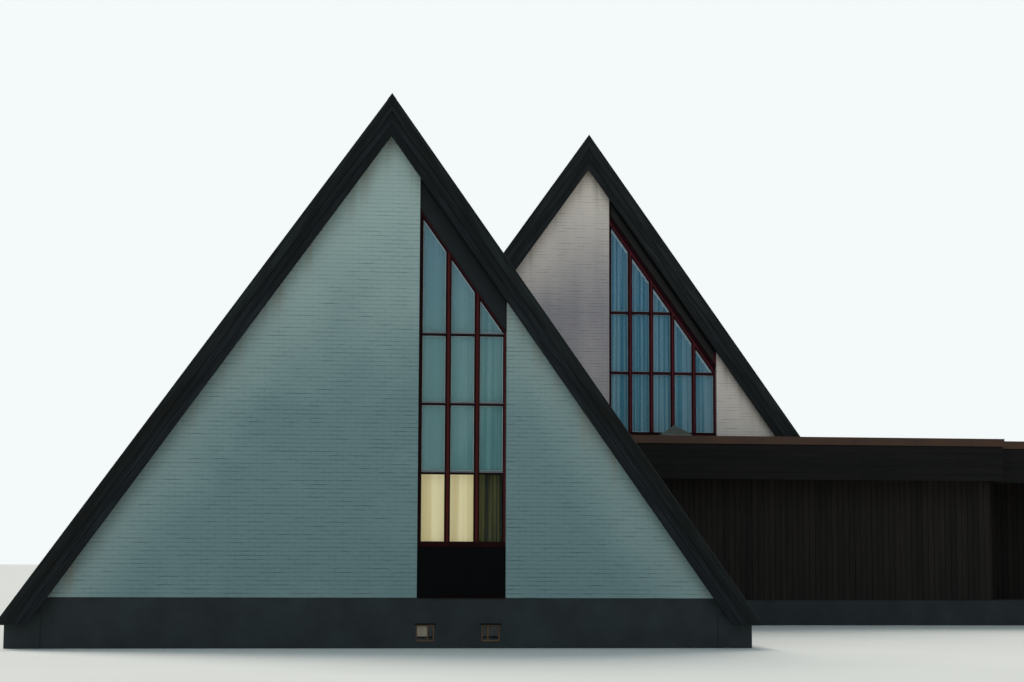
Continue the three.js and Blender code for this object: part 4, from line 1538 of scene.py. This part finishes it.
# %% Board the soffits
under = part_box("block_roof_front")[0].z
SOFFITS = {
    "front": ((xa + FASCIA, ya + FASCIA), (xb - FASCIA, front_y - CLAD)),
    "porch": ((porch_x + CLAD, yb + FASCIA), (inner_x - CLAD, recess_y - CLAD)),
    "right": ((end_x + CLAD, yb + FASCIA), (xc - FASCIA, yc - FASCIA)),
    "back": ((xa + FASCIA, back_y + CLAD), (end_x + CLAD, yc - FASCIA)),
}
for side, (low, high) in SOFFITS.items():
    zs = (under - 0.018, under)
    field = board_field((*low, zs[0]), (*high, zs[1]), "X", "Y", 0.12, 0.008, 4.2, level_brown)
    keep(field, f"block_{side}_soffit")

# %% [markdown]
# ## The flat roof
# Bitumen felt comes in rolls a metre wide. Each sheet laps the one before it by 80 mm, so its edge
# stands up a little and throws a fine shadow. A sheet is a thin block with one long edge raised by
# its own thickness, repeated across the roof.

# %% Lay the felt
FELT = 0.004
ROLL, FELT_LAP = 1.0, 0.08
roof_front, roof_right, roof_back = (
    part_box(f"block_roof_{side}") for side in ("front", "right", "back"))
roof_z = roof_front[1].z + 0.0005


def felt_sheets(name, low, high):
    """Lapped sheets of felt over a rectangle of the roof"""
    end = (high[0], low[1] + ROLL + FELT_LAP, roof_z + FELT)
    sheet = block((low[0], low[1], roof_z), end, felt)
    pick(sheet, (0, -1, 0))
    bpy.ops.transform.translate(value=(0, 0, FELT + 0.001))
    repeat(sheet, math.ceil((high[1] - low[1]) / ROLL), (0, ROLL, 0))
    cut_off((0, high[1], 0), (0, 1, 0))
    return keep(sheet, name)


step_x = fascia_front[1].x - FASCIA - JOINT
felt_sheets("block_felt_front", (roof_front[0].x, roof_front[0].y), (step_x, REAR["face"] + 0.02))
felt_sheets("block_felt_right", (roof_right[0].x, fascia_step[1].y), (roof_right[1].x, roof_back[1].y))
felt_sheets("block_felt_back", (roof_back[0].x, REAR["back"] - 0.02), (roof_right[0].x, roof_back[1].y))

# %% [markdown]
# ## Finishes of the plain solids
# Solids that stay as they are get a finish too, also where new pieces cover most of them. The walls
# under the boards are black, which keeps the open joints dark.

# %% Finish the plain solids
SOLIDS = (
    (black_wood, ("block_front_wall", "block_porch_wall", "block_end_wall", "block_back_wall",
                  "block_left_wall", "link_wall_left", "link_wall_right",
                  "block_roof_front", "block_roof_right", "block_roof_back")),
    (plinth_concrete_and_shade, ("block_base", "front_hall_plinth_front", "front_hall_plinth_left",
                       "front_hall_plinth_right")),
    (bare_concrete, ("front_hall_floor",)),
    (dark_glass, ("front_hall_basement_window_left", "front_hall_basement_window_right")),
    (flashing_coat, ("block_roof_flashing",)),
    (glulam, ("block_hall_beam",)),
    (acrylic, ("block_rooflight",)),
)
for paint, nodes in SOLIDS:
    for node in nodes:
        wear(node, paint)
    print(paint.name, "on", len(nodes))

# %% [markdown]
# ## Basement windows
# Two small windows in the plinth, each with an ochre frame, one upright bar, one low bar and a strip
# of dark sheet over it that throws a shadow. The wider light of the left one is closed by a pale
# board. The frame is a slab with its two faces inset and the inner ones bridged, which cuts a hole
# through it.

# %% Make the basement window frames
def frame_ring(low, high, width, paint):
    """A slab with a hole through it, from front to back"""
    ring = block(low, high, paint)
    pick(ring, (0, -1, 0))
    bpy.ops.mesh.inset(thickness=width, depth=0)
    pick(ring, (0, 1, 0))
    bpy.ops.mesh.inset(thickness=width, depth=0)
    mesh = bmesh.from_edit_mesh(ring.data)
    middle = (Vector(low) + Vector(high)) / 2
    for face in mesh.faces:
        centre = face.calc_center_median()
        face.select_set((centre.xz - middle.xz).length < 0.001 and abs(face.normal.y) > 0.9)
    bmesh.update_edit_mesh(ring.data)
    bpy.ops.mesh.bridge_edge_loops()
    return ring


plinth_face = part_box("front_hall_plinth_front")[0].y
for side, share in (("left", 0.64), ("right", 0.36)):
    low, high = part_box(f"front_hall_basement_window_{side}")
    y0, y1 = low.y - 0.034, low.y - 0.001
    parts = [frame_ring((low.x, y0, low.z), (high.x, y1, high.z), 0.026, ochre_paint)]
    split = low.x + (high.x - low.x) * share
    start, end = (split - 0.011, y0 + 0.003, low.z + 0.02), (split + 0.011, y1, high.z - 0.02)
    parts.append(block(start, end, ochre_paint))
    rail = low.z + 0.075
    start, end = (low.x + 0.02, y0 + 0.006, rail - 0.011), (high.x - 0.02, y1, rail + 0.011)
    parts.append(block(start, end, black_paint))
    if side == "left":
        start, end = (low.x + 0.022, y1 - 0.012, rail), (split, y1, high.z - 0.02)
        parts.append(block(start, end, cream_board))
    start = (low.x - 0.02, plinth_face - 0.02, high.z)
    end = (high.x + 0.02, plinth_face + 0.002, high.z + 0.02)
    parts.append(block(start, end, black_paint))
    piece = join(parts)
    soften(piece, 0.0015)
    keep(piece, f"front_hall_basement_frame_{side}")

# %% [markdown]
# ## Flashings round the rear hall
# Strips of dark sheet turn up where the felt meets the rear hall, on its three sides over the flat
# roof. On the gables such a strip has an upright part, 110 mm high, and a level one.

# %% Make the flashings
UPSTAND, APRON, SHEET = 0.115, 0.155, 0.004
foot = REAR["wall_foot"]
over_felt = (foot + 0.006, foot + 0.006 + SHEET)
right_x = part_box("rear_hall_roof_right")[1].x
start = (right_x - 0.06, REAR["roof_y"][0], over_felt[0])
end = (right_x + 0.16, REAR["roof_y"][1], over_felt[1])
strips = [block(start, end, verge_coat)]
walls = (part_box("rear_hall_front_wall_left")[0].x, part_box("rear_hall_front_wall_right")[1].x)
for face, out in ((REAR["face"], -1), (REAR["back"], 1)):
    for thick, top in ((0.005 + SHEET, foot + UPSTAND), (APRON, over_felt[1])):
        ys = sorted((face + out * 0.005, face + out * thick))
        strips.append(block((walls[0], ys[0], over_felt[0]), (walls[1], ys[1], top), verge_coat))
keep(join(strips), "rear_hall_foot_flashings")

# %% [markdown]
# ## The rooflight's frame
# The rooflight stands in a zinc ring, with a slim bar over each of its four edges. Such a bar is a
# short block at a corner, with its top face moved up to the point.

# %% Make the rooflight's frame
RING, RING_HIGH = 0.012, 0.035
low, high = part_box("block_rooflight")
apex = Vector(((low.x + high.x) / 2, (low.y + high.y) / 2, high.z))
parts = []
for sx, sy in ((-1, -1), (1, -1), (1, 1), (-1, 1)):
    corner = Vector((apex.x + sx * (apex.x - low.x), apex.y + sy * (apex.y - low.y), low.z + 0.002))
    hip = block(corner - Vector((0.008, 0.008, 0)), corner + Vector((0.008, 0.008, 0.012)), zinc)
    pick(hip, (0, 0, 1))
    rise = apex + Vector((sx * 0.006, sy * 0.006, 0.006)) - corner - Vector((0, 0, 0.012))
    bpy.ops.transform.translate(value=rise)
    parts.append(hip)
for sy in (-1, 1):
    y = apex.y + sy * (apex.y - low.y + RING / 2)
    start = (low.x - RING, y - RING / 2, low.z + 0.002)
    parts.append(block(start, (high.x + RING, y + RING / 2, low.z + RING_HIGH), zinc))
for sx in (-1, 1):
    x = apex.x + sx * (apex.x - low.x + RING / 2)
    start = (x - RING / 2, low.y, low.z + 0.002)
    parts.append(block(start, (x + RING / 2, high.y, low.z + RING_HIGH), zinc))
keep(join(parts), "block_rooflight_frame")

# %% [markdown]
# ## Count the pieces
# The new pieces are counted, with their triangles.

# %% Finish
print("new pieces:", len(triangle_counts), "with", sum(triangle_counts), "triangles")
